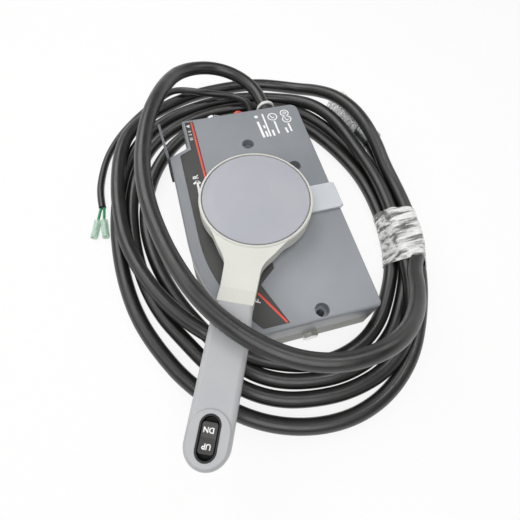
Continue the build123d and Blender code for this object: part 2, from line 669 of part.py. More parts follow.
# ---------------------------------------------------------------- neutral throttle lever
def neutral_throttle_lever():
    """Ring on the bush with a flat arm across the face and a rounded lip at its end."""
    low = FACE_Z + BAND_LOW_GAP
    corner = [(0.0, BAND_LOW_Y + 4), (44.0, BAND_LOW_Y), (BAND_END_X, BAND_LOW_Y), (BAND_END_X, BAND_HIGH_Y),
              (50.0, BAND_HIGH_Y), (0.0, BAND_HIGH_Y)]
    face = polygon(corner)
    face = face + Circle(BAND_RING_R) - Circle(FRONT_BUSH_R + RUN_GAP)
    arm = slab(face, low, low + BAND_THICK)
    roll = rod_y(BAND_END_X, low + BAND_ROLL_R, BAND_ROLL_R, BAND_LOW_Y + 1, BAND_HIGH_Y - 1)
    return arm + roll


# ---------------------------------------------------------------- lever
def lever_plan():
    """Hub disc that flares into the straight arm."""
    upper = Spline(FLARE_START, FLARE_MID, FLARE_END, tangents=[(0.62, -0.78), (1, -0.03)])
    lower = mirror(upper, Plane.XZ)
    end = Line((GRIP_START_R, NECK_HALF), (GRIP_START_R, -NECK_HALF))
    sides = [Line(FLARE_END, (GRIP_START_R, NECK_HALF)),
             Line((FLARE_END[0], -FLARE_END[1]), (GRIP_START_R, -NECK_HALF))]
    back = Line(FLARE_START, (FLARE_START[0], -FLARE_START[1]))
    return make_face([upper, sides[0], end, sides[1], lower, back])


def lever_arm():
    """Cast lever: hub cup with ribs, cranked arm and the tongue inside the grip."""
    hub_low = FACE_Z + BAND_LOW_GAP + BAND_THICK + BUSH_TOP_GAP + HUB_LOW_GAP
    hub = drum(HUB_R, hub_low, HUB_TOP_Z)
    hub = fillet(hub.edges().sort_by(Axis.Z)[-1], HUB_EDGE_R)
    neck_top = HUB_TOP_Z - 1.0
    profile = Polyline((20, NECK_LOW_Z), (20, neck_top), (CRANK_START_R, neck_top),
                       (GRIP_START_R, GRIP_TOP_Z), (GRIP_START_R, GRIP_LOW_Z + 0.5),
                       (CRANK_START_R, NECK_LOW_Z), close=True)
    side = extrude(Plane.XZ * make_face(profile), HUB_R, both=True)
    arm = slab(lever_plan(), hub_low, GRIP_TOP_Z) & side
    cutter = drum(HUB_R - 1, hub_low - 1, GRIP_TOP_Z)
    arm = chamfer((arm - cutter).edges().group_by(Axis.Z)[-1].sort_by(Axis.X)[0], 0.6) + (arm & cutter)
    tongue = block((GRIP_START_R - 1, TONGUE_END_R), (-TONGUE_HALF, TONGUE_HALF), (TONGUE_LOW_Z, TONGUE_TOP_Z))
    hollow = tube(HUB_SKIRT_R, HUB_BOSS_R, hub_low - 1, HUB_HOLLOW_TOP)
    rib = block((HUB_BOSS_R - 1, HUB_SKIRT_R + 1), (-RIB_HALF, RIB_HALF), (hub_low, HUB_HOLLOW_TOP))
    ribs = [Rot(0, 0, 30 + 60 * index) * rib for index in range(6)]
    lever = hub + arm + tongue - hollow + ribs
    lever -= drum(CAP_POCKET_R, HUB_TOP_Z - CAP_THICK, HUB_TOP_Z + 1)
    lever -= drum(BOLT_POCKET_R, SEAT_TOP_Z, HUB_TOP_Z)
    lever -= slab(Rectangle(SEAT_SIDE + 2 * SEAT_PLAY, SEAT_SIDE + 2 * SEAT_PLAY), hub_low - 1, SEAT_TOP_Z + 1)
    lever -= block((HUB_BOSS_R + 1, GRIP_START_R + 1), (-ROD_GROOVE_HALF, ROD_GROOVE_HALF),
                   (GRIP_LOW_Z - 1, ROD_GROOVE_TOP))
    for at in GRIP_SCREWS:
        lever -= drum(GRIP_SCREW_R + SCREW_PLAY, TONGUE_LOW_Z - 1, GRIP_SCREW_TOP + 0.5, at)
    return on_lever(lever)


def lever_cap():
    """Round trim disc in the hub's recess, slightly crowned."""
    low = HUB_TOP_Z - CAP_THICK
    cap = drum(CAP_R, low, HUB_TOP_Z)
    cap = fillet(cap.edges().sort_by(Axis.Z)[-1], 0.8)
    crown_r = CAP_R - 4
    return cap + Pos(0, 0, HUB_TOP_Z) * Cone(crown_r, crown_r - 6, CAP_CROWN,
                                             align=(Align.CENTER, Align.CENTER, Align.MIN))


def lever_bolt():
    """Hexagon bolt and washer that hold the lever on the shaft."""
    washer_top = SEAT_TOP_Z + WASHER_H
    hexagon = Rot(0, 0, LEVER_ANGLE) * RegularPolygon(BOLT_HEAD_AF / math.sqrt(3), 6)
    bolt = drum(BOLT_R, BUSH_LOW_Z + 4, washer_top) + slab(hexagon, washer_top, washer_top + BOLT_HEAD_H)
    return bolt + drum(WASHER_R, SEAT_TOP_Z, washer_top)


def grip_plan():
    """Grip seen from above: a slight widening and a round end."""
    end_centre = GRIP_END_R - GRIP_HALF
    body = polygon([(GRIP_START_R, -NECK_HALF), (GRIP_FULL_R, -GRIP_HALF), (end_centre, -GRIP_HALF),
                    (end_centre, GRIP_HALF), (GRIP_FULL_R, GRIP_HALF), (GRIP_START_R, NECK_HALF)])
    return body + Pos(end_centre, 0) * Circle(GRIP_HALF)


def stadium(length, width):
    """Flat stadium along X."""
    return SlotOverall(length, width)


def grip_solid():
    """Both grip halves as one hollow solid."""
    plan = grip_plan()
    solid = slab(plan, GRIP_LOW_Z, GRIP_TOP_Z)
    rim = solid.edges().group_by(Axis.Z)
    rounded = [edge for edge in rim[0] + rim[-1] if edge.center().X > GRIP_START_R + 1]
    solid = fillet(rounded, GRIP_EDGE_R)
    inner = offset(plan, amount=-GRIP_WALL, kind=Kind.INTERSECTION)
    solid -= slab(inner, GRIP_LOW_Z + GRIP_WALL, GRIP_TOP_Z - GRIP_WALL)
    opening = TONGUE_HALF + SEAT_PLAY
    solid -= block((GRIP_START_R - 1, GRIP_START_R + GRIP_WALL + 1), (-opening, opening),
                   (TONGUE_LOW_Z - SEAT_PLAY, TONGUE_TOP_Z + SEAT_PLAY))
    return solid


def grip_front():
    """Upper grip half with the raised collar and the slot for the trim switch."""
    start = COLLAR_START_R + COLLAR_HALF
    end = GRIP_END_R - GRIP_HALF
    middle = Pos((start + end) / 2, 0) * Rectangle(abs(end - start), 2 * COLLAR_HALF)
    collar_face = middle + Pos(start, 0) * Circle(COLLAR_HALF) + Pos(end, 0) * Circle(COLLAR_HALF)
    collar = slab(collar_face, GRIP_TOP_Z - 1, GRIP_TOP_Z + COLLAR_RISE)
    collar = chamfer(collar.edges().group_by(Axis.Z)[-1], COLLAR_EDGE_R)
    shell = grip_solid() & block((0, GRIP_END_R + 1), (-20, 20), (GRIP_SPLIT_Z, GRIP_TOP_Z + 1))
    for at in GRIP_SCREWS:
        if at[0] > TONGUE_END_R:
            shell += tube(GRIP_BOSS_R, GRIP_SCREW_R + SCREW_PLAY, GRIP_SPLIT_Z, GRIP_TOP_Z - GRIP_WALL, at)
    slot = Pos(SWITCH_R, 0) * stadium(SWITCH_LENGTH + 2 * SWITCH_GAP, SWITCH_WIDTH + 2 * SWITCH_GAP)
    return on_lever(shell + collar - slab(slot, GRIP_SPLIT_Z, GRIP_TOP_Z + COLLAR_RISE + 1))


def grip_back():
    """Lower grip half with the trigger slot, the rod's passage and the screw bosses."""
    shell = grip_solid() & block((0, GRIP_END_R + 1), (-20, 20), (GRIP_LOW_Z - 1, GRIP_SPLIT_Z))
    for at in GRIP_SCREWS:
        top = TONGUE_LOW_Z if at[0] < TONGUE_END_R else GRIP_SPLIT_Z
        shell += drum(GRIP_BOSS_R, GRIP_LOW_Z + GRIP_WALL, top, at)
        shell -= drum(GRIP_SCREW_R + SCREW_PLAY, GRIP_LOW_Z - 1, GRIP_SPLIT_Z + 1, at)
        shell -= drum(GRIP_SCREW_HEAD_R + SCREW_PLAY, GRIP_LOW_Z - 1,
                      GRIP_LOW_Z + GRIP_SCREW_HEAD_H + SCREW_PLAY, at)
    slot = (TRIGGER_R[0] - TRIGGER_GAP, TRIGGER_R[1] + TRIGGER_STROKE + TRIGGER_GAP)
    half = TRIGGER_HALF + TRIGGER_GAP
    shell -= block(slot, (-half, half), (GRIP_LOW_Z - 1, GRIP_LOW_Z + GRIP_WALL + 1))
    shell -= block((GRIP_START_R - 1, GRIP_START_R + GRIP_WALL + 1), (-ROD_GROOVE_HALF, ROD_GROOVE_HALF),
                   (GRIP_LOW_Z + GRIP_WALL, ROD_GROOVE_TOP))
    return on_lever(shell)


def grip_screws():
    """Three screws from the underside of the grip."""
    screws = []
    for at in GRIP_SCREWS:
        head = drum(GRIP_SCREW_HEAD_R, GRIP_LOW_Z + SCREW_PLAY, GRIP_LOW_Z + GRIP_SCREW_HEAD_H + SCREW_PLAY, at)
        screws.append(on_lever(head + drum(GRIP_SCREW_R, GRIP_LOW_Z + GRIP_SCREW_HEAD_H, GRIP_SCREW_TOP, at)))
    return Compound(screws)


def trim_switch():
    """Switch housing in the collar, open at the top for the rocker."""
    top = GRIP_TOP_Z + COLLAR_RISE
    housing = slab(stadium(SWITCH_LENGTH, SWITCH_WIDTH), SWITCH_LOW_Z, top)
    length, width = SWITCH_POCKET
    housing -= slab(stadium(length, width), SWITCH_FLOOR_Z, top + 1)
    pin_half = ROCKER_WIDTH / 2 + 1.4
    housing -= rod_y(0, ROCKER_PIVOT_Z, ROCKER_PIN_R + RUN_GAP, -pin_half, pin_half)
    return on_lever(Pos(SWITCH_R, 0, 0) * housing)


def trim_rocker():
    """Two-way thumb rocker with its pivot stubs."""
    half = ROCKER_LENGTH / 2
    outline = Polyline((-half, 1.5), (-half, ROCKER_TOP_END), (0, ROCKER_TOP_MID), (half, ROCKER_TOP_END),
                       (half, 1.5), (4.0, -ROCKER_BELLY), (-4.0, -ROCKER_BELLY), close=True)
    body = extrude(Plane.XZ * make_face(outline), ROCKER_WIDTH / 2, both=True)
    body = fillet(body.edges().filter_by(Axis.Z), ROCKER_CORNER_R)
    pin_half = ROCKER_WIDTH / 2 + 1.2
    body += rod_y(0, 0, ROCKER_PIN_R, -pin_half, pin_half)
    return on_lever(Pos(SWITCH_R, 0, ROCKER_PIVOT_Z) * body)


def interlock_trigger():
    """Finger trigger under the grip with the shoe that slides inside it."""
    middle = (TRIGGER_R[0] + TRIGGER_R[1]) / 2
    shoe_low = GRIP_LOW_Z + GRIP_WALL + SIDE_GAP
    finger = block(TRIGGER_R, (-TRIGGER_HALF, TRIGGER_HALF), (TRIGGER_LOW_Z, shoe_low + 1))
    finger = fillet(finger.edges().filter_by(Axis.Y).group_by(Axis.Z)[0], 3.5)
    shoe = block((middle - SHOE_LENGTH / 2, middle + SHOE_LENGTH / 2), (-SHOE_HALF, SHOE_HALF),
                 (shoe_low, SHOE_TOP_Z))
    return on_lever(finger + shoe)


def interlock_rod():
    """Rod from the trigger's shoe to the hub."""
    middle = (TRIGGER_R[0] + TRIGGER_R[1]) / 2
    return on_lever(rod_between((ROD_INNER_R, 0, ROD_Z), (middle - SHOE_LENGTH / 2, 0, ROD_Z), ROD_R))


# ---------------------------------------------------------------- aft end fittings
def key_switch():
    """Ignition switch body with its threaded neck through the aft wall."""
    body_end = BOX_AFT - COVER_WALL
    body = rod_y(KEY_X, FITTING_Z, KEY_BODY_R, body_end - KEY_BODY_LENGTH, body_end)
    body += rod_y(KEY_X, FITTING_Z, KEY_THREAD_R, body_end, KEY_THREAD_END)
    return body - rod_y(KEY_X, FITTING_Z, KEY_BARREL_R + RUN_GAP, body_end - 20, KEY_THREAD_END + 1)


def key_bezel():
    """Round bezel nut outside the wall."""
    nut = rod_y(KEY_X, FITTING_Z, KEY_NUT_R, BOX_AFT, BOX_AFT + KEY_NUT_H)
    nut = chamfer(nut.edges().sort_by(Axis.Y)[-1], KEY_NUT_BEVEL)
    return nut - rod_y(KEY_X, FITTING_Z, KEY_THREAD_R + SEAT_PLAY, BOX_AFT - 1, BOX_AFT + KEY_NUT_H + 1)


def key_barrel():
    """Barrel that the key turns."""
    inner = BOX_AFT - COVER_WALL - 20 + SIDE_GAP
    outer = BOX_AFT + KEY_NUT_H + 0.4
    barrel = rod_y(KEY_X, FITTING_Z, KEY_BARREL_R, inner, outer)
    width, height, depth = KEY_SLOT
    return barrel - block((KEY_X - width / 2, KEY_X + width / 2), (outer - depth, outer + 1),
                          (FITTING_Z - height / 2, FITTING_Z + height / 2))


def stop_switch():
    """Stop switch body with its neck and ring nut."""
    body_end = BOX_AFT - COVER_WALL
    neck_end = BOX_AFT + STOP_NUT_H
    body = rod_y(STOP_X, FITTING_Z, STOP_BODY_R, body_end - STOP_BODY_LENGTH, body_end)
    body += rod_y(STOP_X, FITTING_Z, STOP_THREAD_R, body_end, neck_end)
    body += rod_y(STOP_X, FITTING_Z, STOP_NUT_R, BOX_AFT, neck_end)
    return body - rod_y(STOP_X, FITTING_Z, STOP_STEM_R + RUN_GAP, body_end - 8, neck_end + 1)


def stop_button():
    """Red push button."""
    low, high = STOP_CAP
    cap = rod_y(STOP_X, FITTING_Z, STOP_CAP_R, low, high)
    cap = fillet(cap.edges().sort_by(Axis.Y)[-1], 1.2)
    return cap + rod_y(STOP_X, FITTING_Z, STOP_STEM_R, BOX_AFT - COVER_WALL - 4, low)


def harness_grommet():
    """Rubber grommet and boot where the harness leaves the box."""
    inner_face = BOX_AFT - COVER_WALL
    boot = rod_y(HARNESS_X, FITTING_Z, GROMMET_HOLE_R, inner_face - 2, BOX_AFT + 2)
    boot += rod_y(HARNESS_X, FITTING_Z, GROMMET_INNER_R, inner_face - 2, inner_face)
    boot += rod_y(HARNESS_X, FITTING_Z, GROMMET_FLANGE_R, BOX_AFT, BOX_AFT + 2)
    boot += rod_y(HARNESS_X, FITTING_Z, GROMMET_TIP_R, BOX_AFT, GROMMET_END)
    bore = HARNESS_D / 2 + CORD_GAP
    return boot - rod_y(HARNESS_X, FITTING_Z, bore, inner_face - 3, GROMMET_END + 1)


def harness_tie():
    """Cable tie round the boot, its head underneath."""
    low, high = TIE_SPAN
    band = rod_y(HARNESS_X, FITTING_Z, TIE_R, low, high)
    head_low = FITTING_Z - TIE_R - 2.2
    band += block((HARNESS_X - 2.2, HARNESS_X + 2.2), (low - 0.6, high + 0.6), (head_low, FITTING_Z - TIE_R + 1))
    return band - rod_y(HARNESS_X, FITTING_Z, GROMMET_TIP_R + SEAT_PLAY, low - 1, high + 1)


def aux_grommet():
    """Small collar where the auxiliary lead leaves the box."""
    collar_r = AUX_D / 2 + 1.0
    collar = rod_y(AUX_X, AUX_Z, collar_r, BOX_AFT - COVER_WALL, BOX_AFT + AUX_GROMMET_LENGTH)
    collar += rod_y(AUX_X, AUX_Z, AUX_GROMMET_R, BOX_AFT, BOX_AFT + 2)
    bore = AUX_D / 2 + CORD_GAP
    return collar - rod_y(AUX_X, AUX_Z, bore, BOX_AFT - COVER_WALL - 1, BOX_AFT + AUX_GROMMET_LENGTH + 1)


def friction_screw():
    """Screw on the fore end that sets the lever's drag."""
    x, z = FRICTION_AT
    hexagon = Plane(origin=(x, BOX_FORE, z), z_dir=(0, -1, 0)) * RegularPolygon(FRICTION_HEAD_AF / math.sqrt(3), 6)
    screw = rod_y(x, z, FRICTION_R, BOX_FORE, BOX_FORE + FRICTION_IN)
    return screw + extrude(hexagon, FRICTION_HEAD_H)


# ---------------------------------------------------------------- harness
def cord_path(points, name):
    """Straight runs joined by the largest arcs that each corner leaves room for."""
    vectors = [Vector(*point) for point in points]
    radii = []
    for before, corner, after in zip(vectors, vectors[1:], vectors[2:]):
        run_in = corner - before
        run_out = after - corner
        turn = math.radians(run_in.get_angle(run_out))
        radii.append(0.45 * min(run_in.length, run_out.length) / math.tan(turn / 2))
    print(name, "radii", [round(radius) for radius in radii])
    return FilletPolyline(*points, radius=radii)


def cord_tube(points, diameter, name):
    """Round cord along its path."""
    path = cord_path(points, name)
    start = Plane(origin=points[0], z_dir=Vector(*points[1]) - Vector(*points[0]))
    solid = sweep(start * Circle(diameter / 2), path)
    expected = math.pi * diameter ** 2 / 4 * path.length
    print(name, "length", round(path.length), "volume ratio", round(solid.volume / expected, 4))
    return solid


def film_radius():
    """Outside of the film round the plug."""
    return PLUG_COLLAR_R + CORD_GAP + FILM_THICK


def coil_face():
    """Ring that the coiled turns fill, seen from above."""
    outer = make_face(Spline(*COIL_OUTER, periodic=True))
    return outer - make_face(Spline(*COIL_INNER, periodic=True))


def harness_coil():
    """Outer shape of the coiled turns, with the outermost turn lifted over the plug."""
    ring = slab(coil_face(), COIL_LOW_Z, COIL_TOP_Z)
    half = PLUG_LENGTH / 2 + PLUG_COLLAR + 2 * FILM_THICK
    notch = block((-half, half), (-60, film_radius() + CORD_GAP), (0, COIL_TOP_Z + 1))
    ring -= Pos(*PLUG_AT, 0) * Rot(0, 0, PLUG_ANGLE) * notch
    ring += cord_tube(SADDLE_POINTS, HARNESS_D, "saddle")
    return ring - cord_tube(LEAD_POINTS, HARNESS_D + 2 * CORD_GAP, "lead pocket")


def coil_wrap():
    """Clear film round the bundle beside the box."""
    low, high = WRAP_SPAN
    strip = coil_face() & Pos(WRAP_X, (low + high) / 2) * Rectangle(2 * WRAP_REACH, high - low)

    def padded(amount):
        face = Pos(-amount, 0) * strip + strip + Pos(amount, 0) * strip
        return slab(face, COIL_LOW_Z - amount, COIL_TOP_Z + amount)

    return padded(CORD_GAP + FILM_THICK) - padded(CORD_GAP)


def plug_frame():
    """Frame at the plug's middle, X along it, resting on the mounting plane."""
    return Pos(*PLUG_AT, film_radius() + 0.1) * Rot(0, 0, PLUG_ANGLE)


def harness_plug():
    """Round multi-pin plug with a collar and its socket."""
    half = PLUG_LENGTH / 2
    plug = rod_between((-half, 0, 0), (half, 0, 0), PLUG_R)
    plug += rod_between((-half / 3, 0, 0), (-half / 3 + PLUG_COLLAR, 0, 0), PLUG_COLLAR_R)
    plug -= rod_between((half - 12, 0, 0), (half + 1, 0, 0), PLUG_R - 2)
    pins = [rod_between((half - 13, *polar(radius, turn)), (half - 3, *polar(radius, turn)), 0.9)
            for radius, count in ((6.5, 7), (2.6, 3)) for turn in range(0, 360, 360 // count)]
    return plug_frame() * (plug + pins)


def plug_wrap():
    """Clear film round the plug, closed over its mouth."""
    half = PLUG_LENGTH / 2 + CORD_GAP
    inner = PLUG_COLLAR_R + CORD_GAP
    film = rod_between((-half, 0, 0), (half + FILM_THICK, 0, 0), inner + FILM_THICK)
    return plug_frame() * (film - rod_between((-half - 1, 0, 0), (half, 0, 0), inner))


def aux_wires():
    """Two short wires from the end of the auxiliary lead to the bullet sleeves."""
    x, y, z = AUX_POINTS[-1]
    wires = []
    for side, foot in zip((-1, 1), BULLET_FEET):
        start = (x + side * WIRE_SPACING, y - 2 * CORD_GAP, z)
        wires.append(rod_between(start, (foot[0], foot[1] + CORD_GAP, z), WIRE_R))
    return Compound(wires)


def bullet_sleeves():
    """Two clear insulating sleeves."""
    z = AUX_POINTS[-1][2]
    sleeves = []
    for foot, tip in zip(BULLET_FEET, BULLET_TIPS):
        start = Vector(*foot, z)
        end = Vector(*tip, z)
        inner = start + (end - start) * 0.12
        beyond = end + (end - start) * 0.1
        sleeve = rod_between(start.to_tuple(), end.to_tuple(), BULLET_R)
        sleeves.append(sleeve - rod_between(inner.to_tuple(), beyond.to_tuple(), BULLET_BORE_R))
    return Compound(sleeves)


def bullet_terminals():
    """Two bullet terminals inside the sleeves."""
    z = AUX_POINTS[-1][2]
    pins = []
    for foot, tip in zip(BULLET_FEET, BULLET_TIPS):
        start = Vector(*foot, z)
        end = Vector(*tip, z)
        inner = start + (end - start) * 0.12
        outer = start + (end - start) * 0.85
        pins.append(rod_between(inner.to_tuple(), outer.to_tuple(), BULLET_PIN_R))
    return Compound(pins)


NODES = [
    front_cover, cover_screws, dial_plate, cable_guard, front_bush, rear_bush, main_shaft, drive_gear,
    detent_plate, detent_spring, detent_roller, detent_posts, neutral_switch, neutral_throttle_lever,
    lever_arm, lever_cap, lever_bolt, grip_front, grip_back, grip_screws, trim_switch, trim_rocker,
    interlock_trigger, interlock_rod, key_switch, key_bezel, key_barrel, stop_switch, stop_button,
    harness_grommet, harness_tie, aux_grommet, friction_screw, harness_coil, coil_wrap, harness_plug,
    plug_wrap, aux_wires, bullet_sleeves, bullet_terminals]


def main():
    """Build and write every node."""
    os.makedirs("parts", exist_ok=True)
    body = back_body() + pivot_boss(SHIFT_AXLE_ANGLE) + pivot_boss(THROTTLE_AXLE_ANGLE)
    for angle in (SHIFT_AXLE_ANGLE, THROTTLE_AXLE_ANGLE):
        body -= drum(AXLE_R + SEAT_PLAY, BODY_WALL, GEAR_LOW_Z, axle_at(angle))
    save("back_body", body)
    for make in NODES:
        save(make.__name__, make())
    save("shift_sector", sector(SHIFT_AXLE_ANGLE))
    save("shift_arm", sector_arm(SHIFT_AXLE_ANGLE, SHIFT_ARM_ANGLE))
    save("shift_axle", sector_axle(SHIFT_AXLE_ANGLE))
    save("throttle_sector", sector(THROTTLE_AXLE_ANGLE))
    save("throttle_arm", sector_arm(THROTTLE_AXLE_ANGLE, THROTTLE_ARM_ANGLE))
    save("throttle_axle", sector_axle(THROTTLE_AXLE_ANGLE))
    save("harness_lead", cord_tube(LEAD_POINTS, HARNESS_D, "harness lead"))
    save("aux_lead", cord_tube(AUX_POINTS, AUX_D, "auxiliary lead"))


main()
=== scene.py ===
import logging
import math
from dataclasses import dataclass, field
from enum import Enum
from typing import Dict, List, Optional, Sequence, Tuple, Union

import bmesh
import bpy
from bpy.types import Material, Mesh, Node, NodeSocket, Object
from mathutils import Matrix, Vector, noise
from mathutils.bvhtree import BVHTree


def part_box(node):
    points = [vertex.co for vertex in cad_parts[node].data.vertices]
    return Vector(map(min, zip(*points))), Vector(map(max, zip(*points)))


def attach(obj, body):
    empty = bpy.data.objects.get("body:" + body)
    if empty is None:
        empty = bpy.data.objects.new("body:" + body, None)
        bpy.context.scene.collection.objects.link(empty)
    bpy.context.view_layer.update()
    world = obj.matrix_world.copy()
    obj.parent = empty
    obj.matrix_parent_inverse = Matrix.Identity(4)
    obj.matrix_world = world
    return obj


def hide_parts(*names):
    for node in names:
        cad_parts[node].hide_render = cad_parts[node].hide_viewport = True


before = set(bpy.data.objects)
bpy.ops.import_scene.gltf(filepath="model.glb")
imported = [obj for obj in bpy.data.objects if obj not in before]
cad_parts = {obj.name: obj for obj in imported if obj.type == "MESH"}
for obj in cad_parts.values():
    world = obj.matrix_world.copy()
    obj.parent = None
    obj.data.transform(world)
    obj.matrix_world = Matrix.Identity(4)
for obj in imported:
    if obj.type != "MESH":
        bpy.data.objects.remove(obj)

LOG = logging.getLogger("throttle_control")
Point = Tuple[float, float, float]
Spot = Tuple[float, float]
Colour = Tuple[float, float, float]
Value = Union[NodeSocket, float, Sequence[float]]
MM = 0.001
DOWN = Vector((0, 0, -1))
UP = Vector((0, 0, 1))
QUARTER_BACK = Matrix.Rotation(math.radians(-90), 4, "X")  # turns Z to +Y
INK_GAP = 0.01        # under printed ink, mm
STROKE_STEP = 4.0     # flat length of a printed line, mm
CAP_HEIGHT = 0.70     # of a letter, over its font size
HULL_STEPS = 720      # directions in which a bundle is measured


class Body(Enum):
    """Rigid bodies that the pieces ride on."""
    HOUSING = "housing"
    LEVER = "lever"
    ROCKER = "rocker"
    KEY = "key"
    STOP = "stop"


# ---------------------------------------------------------------- shader building
class Shader:
    """Node tree of one material while it is being built."""

    def __init__(self, name: str) -> None:
        """Starts a material with its Principled shader.

        Args:
            name: Name of the material.
        """
        self.material = bpy.data.materials.new("dress_" + name)
        self.material.use_nodes = True
        self.tree = self.material.node_tree
        self.surface = self.tree.nodes["Principled BSDF"]
        self.output = self.tree.nodes["Material Output"]

    def node(self, kind: str, inputs: Optional[Dict] = None, **settings: object) -> Node:
        """Adds a node with its inputs and settings.

        Args:
            kind: Blender's node type name.
            inputs: Values or output sockets, by input name or number.
            settings: Properties of the node itself.

        Returns:
            The new node.
        """
        made = self.tree.nodes.new(kind)
        for key, value in settings.items():
            setattr(made, key, value)
        for key, value in (inputs or {}).items():
            self.feed(made, key, value)
        return made

    def feed(self, node: Node, key: Union[str, int], value: Value) -> None:
        """Sets an input to a value, or links it to an output socket.

        Args:
            node: The node that has the input.
            key: Name or number of the input.
            value: Plain value or output socket.
        """
        if isinstance(value, NodeSocket):
            self.tree.links.new(value, node.inputs[key])
        else:
            node.inputs[key].default_value = value

    def dress(self, sockets: Dict[str, Value]) -> Material:
        """Feeds the surface's sockets.

        Args:
            sockets: Values or output sockets, by the surface's input names.

        Returns:
            The finished material.
        """
        for key, value in sockets.items():
            self.feed(self.surface, key, value)
        return self.material

    def combine(self, operation: str, first: Value, second: Value) -> NodeSocket:
        """Result of one arithmetic step on two values."""
        return self.node("ShaderNodeMath", {0: first, 1: second}, operation=operation).outputs[0]

    def place(self, stretch: Point = (1, 1, 1), turn: Point = (0, 0, 0)) -> NodeSocket:
        """Object coordinates for a pattern.

        Args:
            stretch: Scale along each axis.
            turn: Rotation about each axis, in radians.

        Returns:
            The coordinates in metres, stretched and turned.
        """
        coords = self.node("ShaderNodeTexCoord").outputs["Object"]
        sockets = {"Vector": coords, "Scale": stretch, "Rotation": turn}
        return self.node("ShaderNodeMapping", sockets).outputs["Vector"]

    def speckle(self, size_mm: float, detail: float = 3.0, rough: float = 0.55,
                stretch: Point = (1, 1, 1), turn: Point = (0, 0, 0)) -> NodeSocket:
        """Noise pattern.

        Args:
            size_mm: Size of its largest features.
            detail: How many finer layers it has.
            rough: Weight of the finer layers.
            stretch: Scale along each axis.
            turn: Rotation about each axis, in radians.

        Returns:
            The pattern's height, around 0.5.
        """
        sockets = {"Vector": self.place(stretch, turn), "Scale": 1 / (size_mm * MM), "Detail": detail,
                   "Roughness": rough}
        return self.node("ShaderNodeTexNoise", sockets).outputs["Fac"]

    def span(self, value: NodeSocket, low: float, high: float, to_low: float, to_high: float) -> NodeSocket:
        """Maps a value's range onto another range, held at its ends."""
        sockets = {"Value": value, "From Min": low, "From Max": high, "To Min": to_low, "To Max": to_high}
        return self.node("ShaderNodeMapRange", sockets).outputs["Result"]

    def blend(self, share: Value, first: Value, second: Value) -> NodeSocket:
        """Mixes two colours.

        Args:
            share: How much of the second one shows.
            first: Colour, or the socket of one.
            second: Colour, or the socket of one.

        Returns:
            The mixed colour.
        """
        made = self.node("ShaderNodeMix", {0: share}, data_type="RGBA")
        for key, value in ((6, first), (7, second)):
            self.feed(made, key, value if isinstance(value, NodeSocket) else (*value, 1.0))
        return made.outputs[2]

    def bump(self, height: NodeSocket, depth_mm: float, strength: float = 1.0,
             normal: Optional[NodeSocket] = None) -> NodeSocket:
        """Relief of a pattern.

        Args:
            height: The pattern.
            depth_mm: How deep it is.
            strength: How much of it shows.
            normal: Shading that it is laid over.

        Returns:
            The bumped normal.
        """
        sockets = {"Height": height, "Distance": depth_mm * MM, "Strength": strength}
        if normal is not None:
            sockets["Normal"] = normal
        return self.node("ShaderNodeBump", sockets).outputs["Normal"]

    def soft_edges(self, radius_mm: float) -> Tuple[NodeSocket, NodeSocket]:
        """Rounded shading at edges, and a mask that is 1 on them.

        Args:
            radius_mm: Radius of the rounding.

        Returns:
            The rounded normal and the edge mask.
        """
        rounded = self.node("ShaderNodeBevel", {"Radius": radius_mm * MM}, samples=6).outputs["Normal"]
        flat = self.node("ShaderNodeNewGeometry").outputs["True Normal"]
        both = {0: rounded, 1: flat}
        cosine = self.node("ShaderNodeVectorMath", both, operation="DOT_PRODUCT").outputs["Value"]
        return rounded, self.span(cosine, 0.985, 0.80, 0.0, 1.0)


@dataclass(frozen=True)
class Moulded:
    """Moulded plastic or paint: fine grain, uneven tone, worn and lit edges."""
    name: str
    colour: Colour
    tone: Colour
    edge: Colour
    rough: float = 0.42
    grain_mm: float = 0.5
    grain_deep: float = 0.02
    patch_mm: float = 45.0
    edge_mm: float = 0.5
    wear: float = 0.5
    coat: float = 0.0
    metallic: float = 0.0

    def make(self) -> Material:
        """Builds the material.

        Returns:
            The material.
        """
        shader = Shader(self.name)
        normal, edges = shader.soft_edges(self.edge_mm)
        patches = shader.span(shader.speckle(self.patch_mm, 2.0), 0.35, 0.65, 0.0, 1.0)
        body = shader.blend(patches, self.colour, self.tone)
        wear_and_highlight = shader.span(shader.speckle(6.0, 4.0), 0.38, 0.62, 0.25 * self.wear, self.wear)
        polish = shader.speckle(9.0, 3.0)
        return shader.dress({
            "Base Color": shader.blend(shader.combine("MULTIPLY", edges, wear_and_highlight), body, self.edge),
            "Roughness": shader.span(polish, 0.25, 0.75, self.rough - 0.02, self.rough + 0.03),
            "Normal": shader.bump(shader.speckle(self.grain_mm, 2.0), self.grain_deep, 0.6, normal),
            "Metallic": self.metallic, "Coat Weight": self.coat, "Coat Roughness": 0.22})


@dataclass(frozen=True)
class HighlitStrip:
    """Black moulded strip with a painted highlight: paler along its outer length, where the bent strip
    catches light.
    """
    name: str
    colour: Colour
    # colour of the painted highlight on the strip
    wear_and_highlight: Colour
    from_mm: float
    to_mm: float
    edge: Colour = (0.30, 0.31, 0.33)
    rough: float = 0.34

    def make(self) -> Material:
        """Builds the material.

        Returns:
            The material.
        """
        shader = Shader(self.name)
        normal, edges = shader.soft_edges(0.5)
        along = shader.node("ShaderNodeSeparateXYZ", {0: shader.place()}).outputs["Y"]
        # painted highlight: pale in patches from from_mm to to_mm along Y, where the bent guard catches light
        painted_highlight_share = shader.span(along, self.from_mm * MM, self.to_mm * MM, 0.0, 1.0)
        patchy = shader.span(shader.speckle(7.0, 4.0, 0.6, (1, 0.3, 1)), 0.3, 0.7, 0.55, 1.0)
        share = shader.combine("MULTIPLY", painted_highlight_share, patchy)
        body = shader.blend(share, self.colour, self.wear_and_highlight)
        return shader.dress({
            "Base Color": shader.blend(shader.span(edges, 0, 1, 0.0, 0.5), body, self.edge),
            "Roughness": shader.span(share, 0.0, 1.0, self.rough, self.rough + 0.12),
            "Normal": shader.bump(shader.speckle(0.5, 2.0), 0.02, 0.6, normal)})


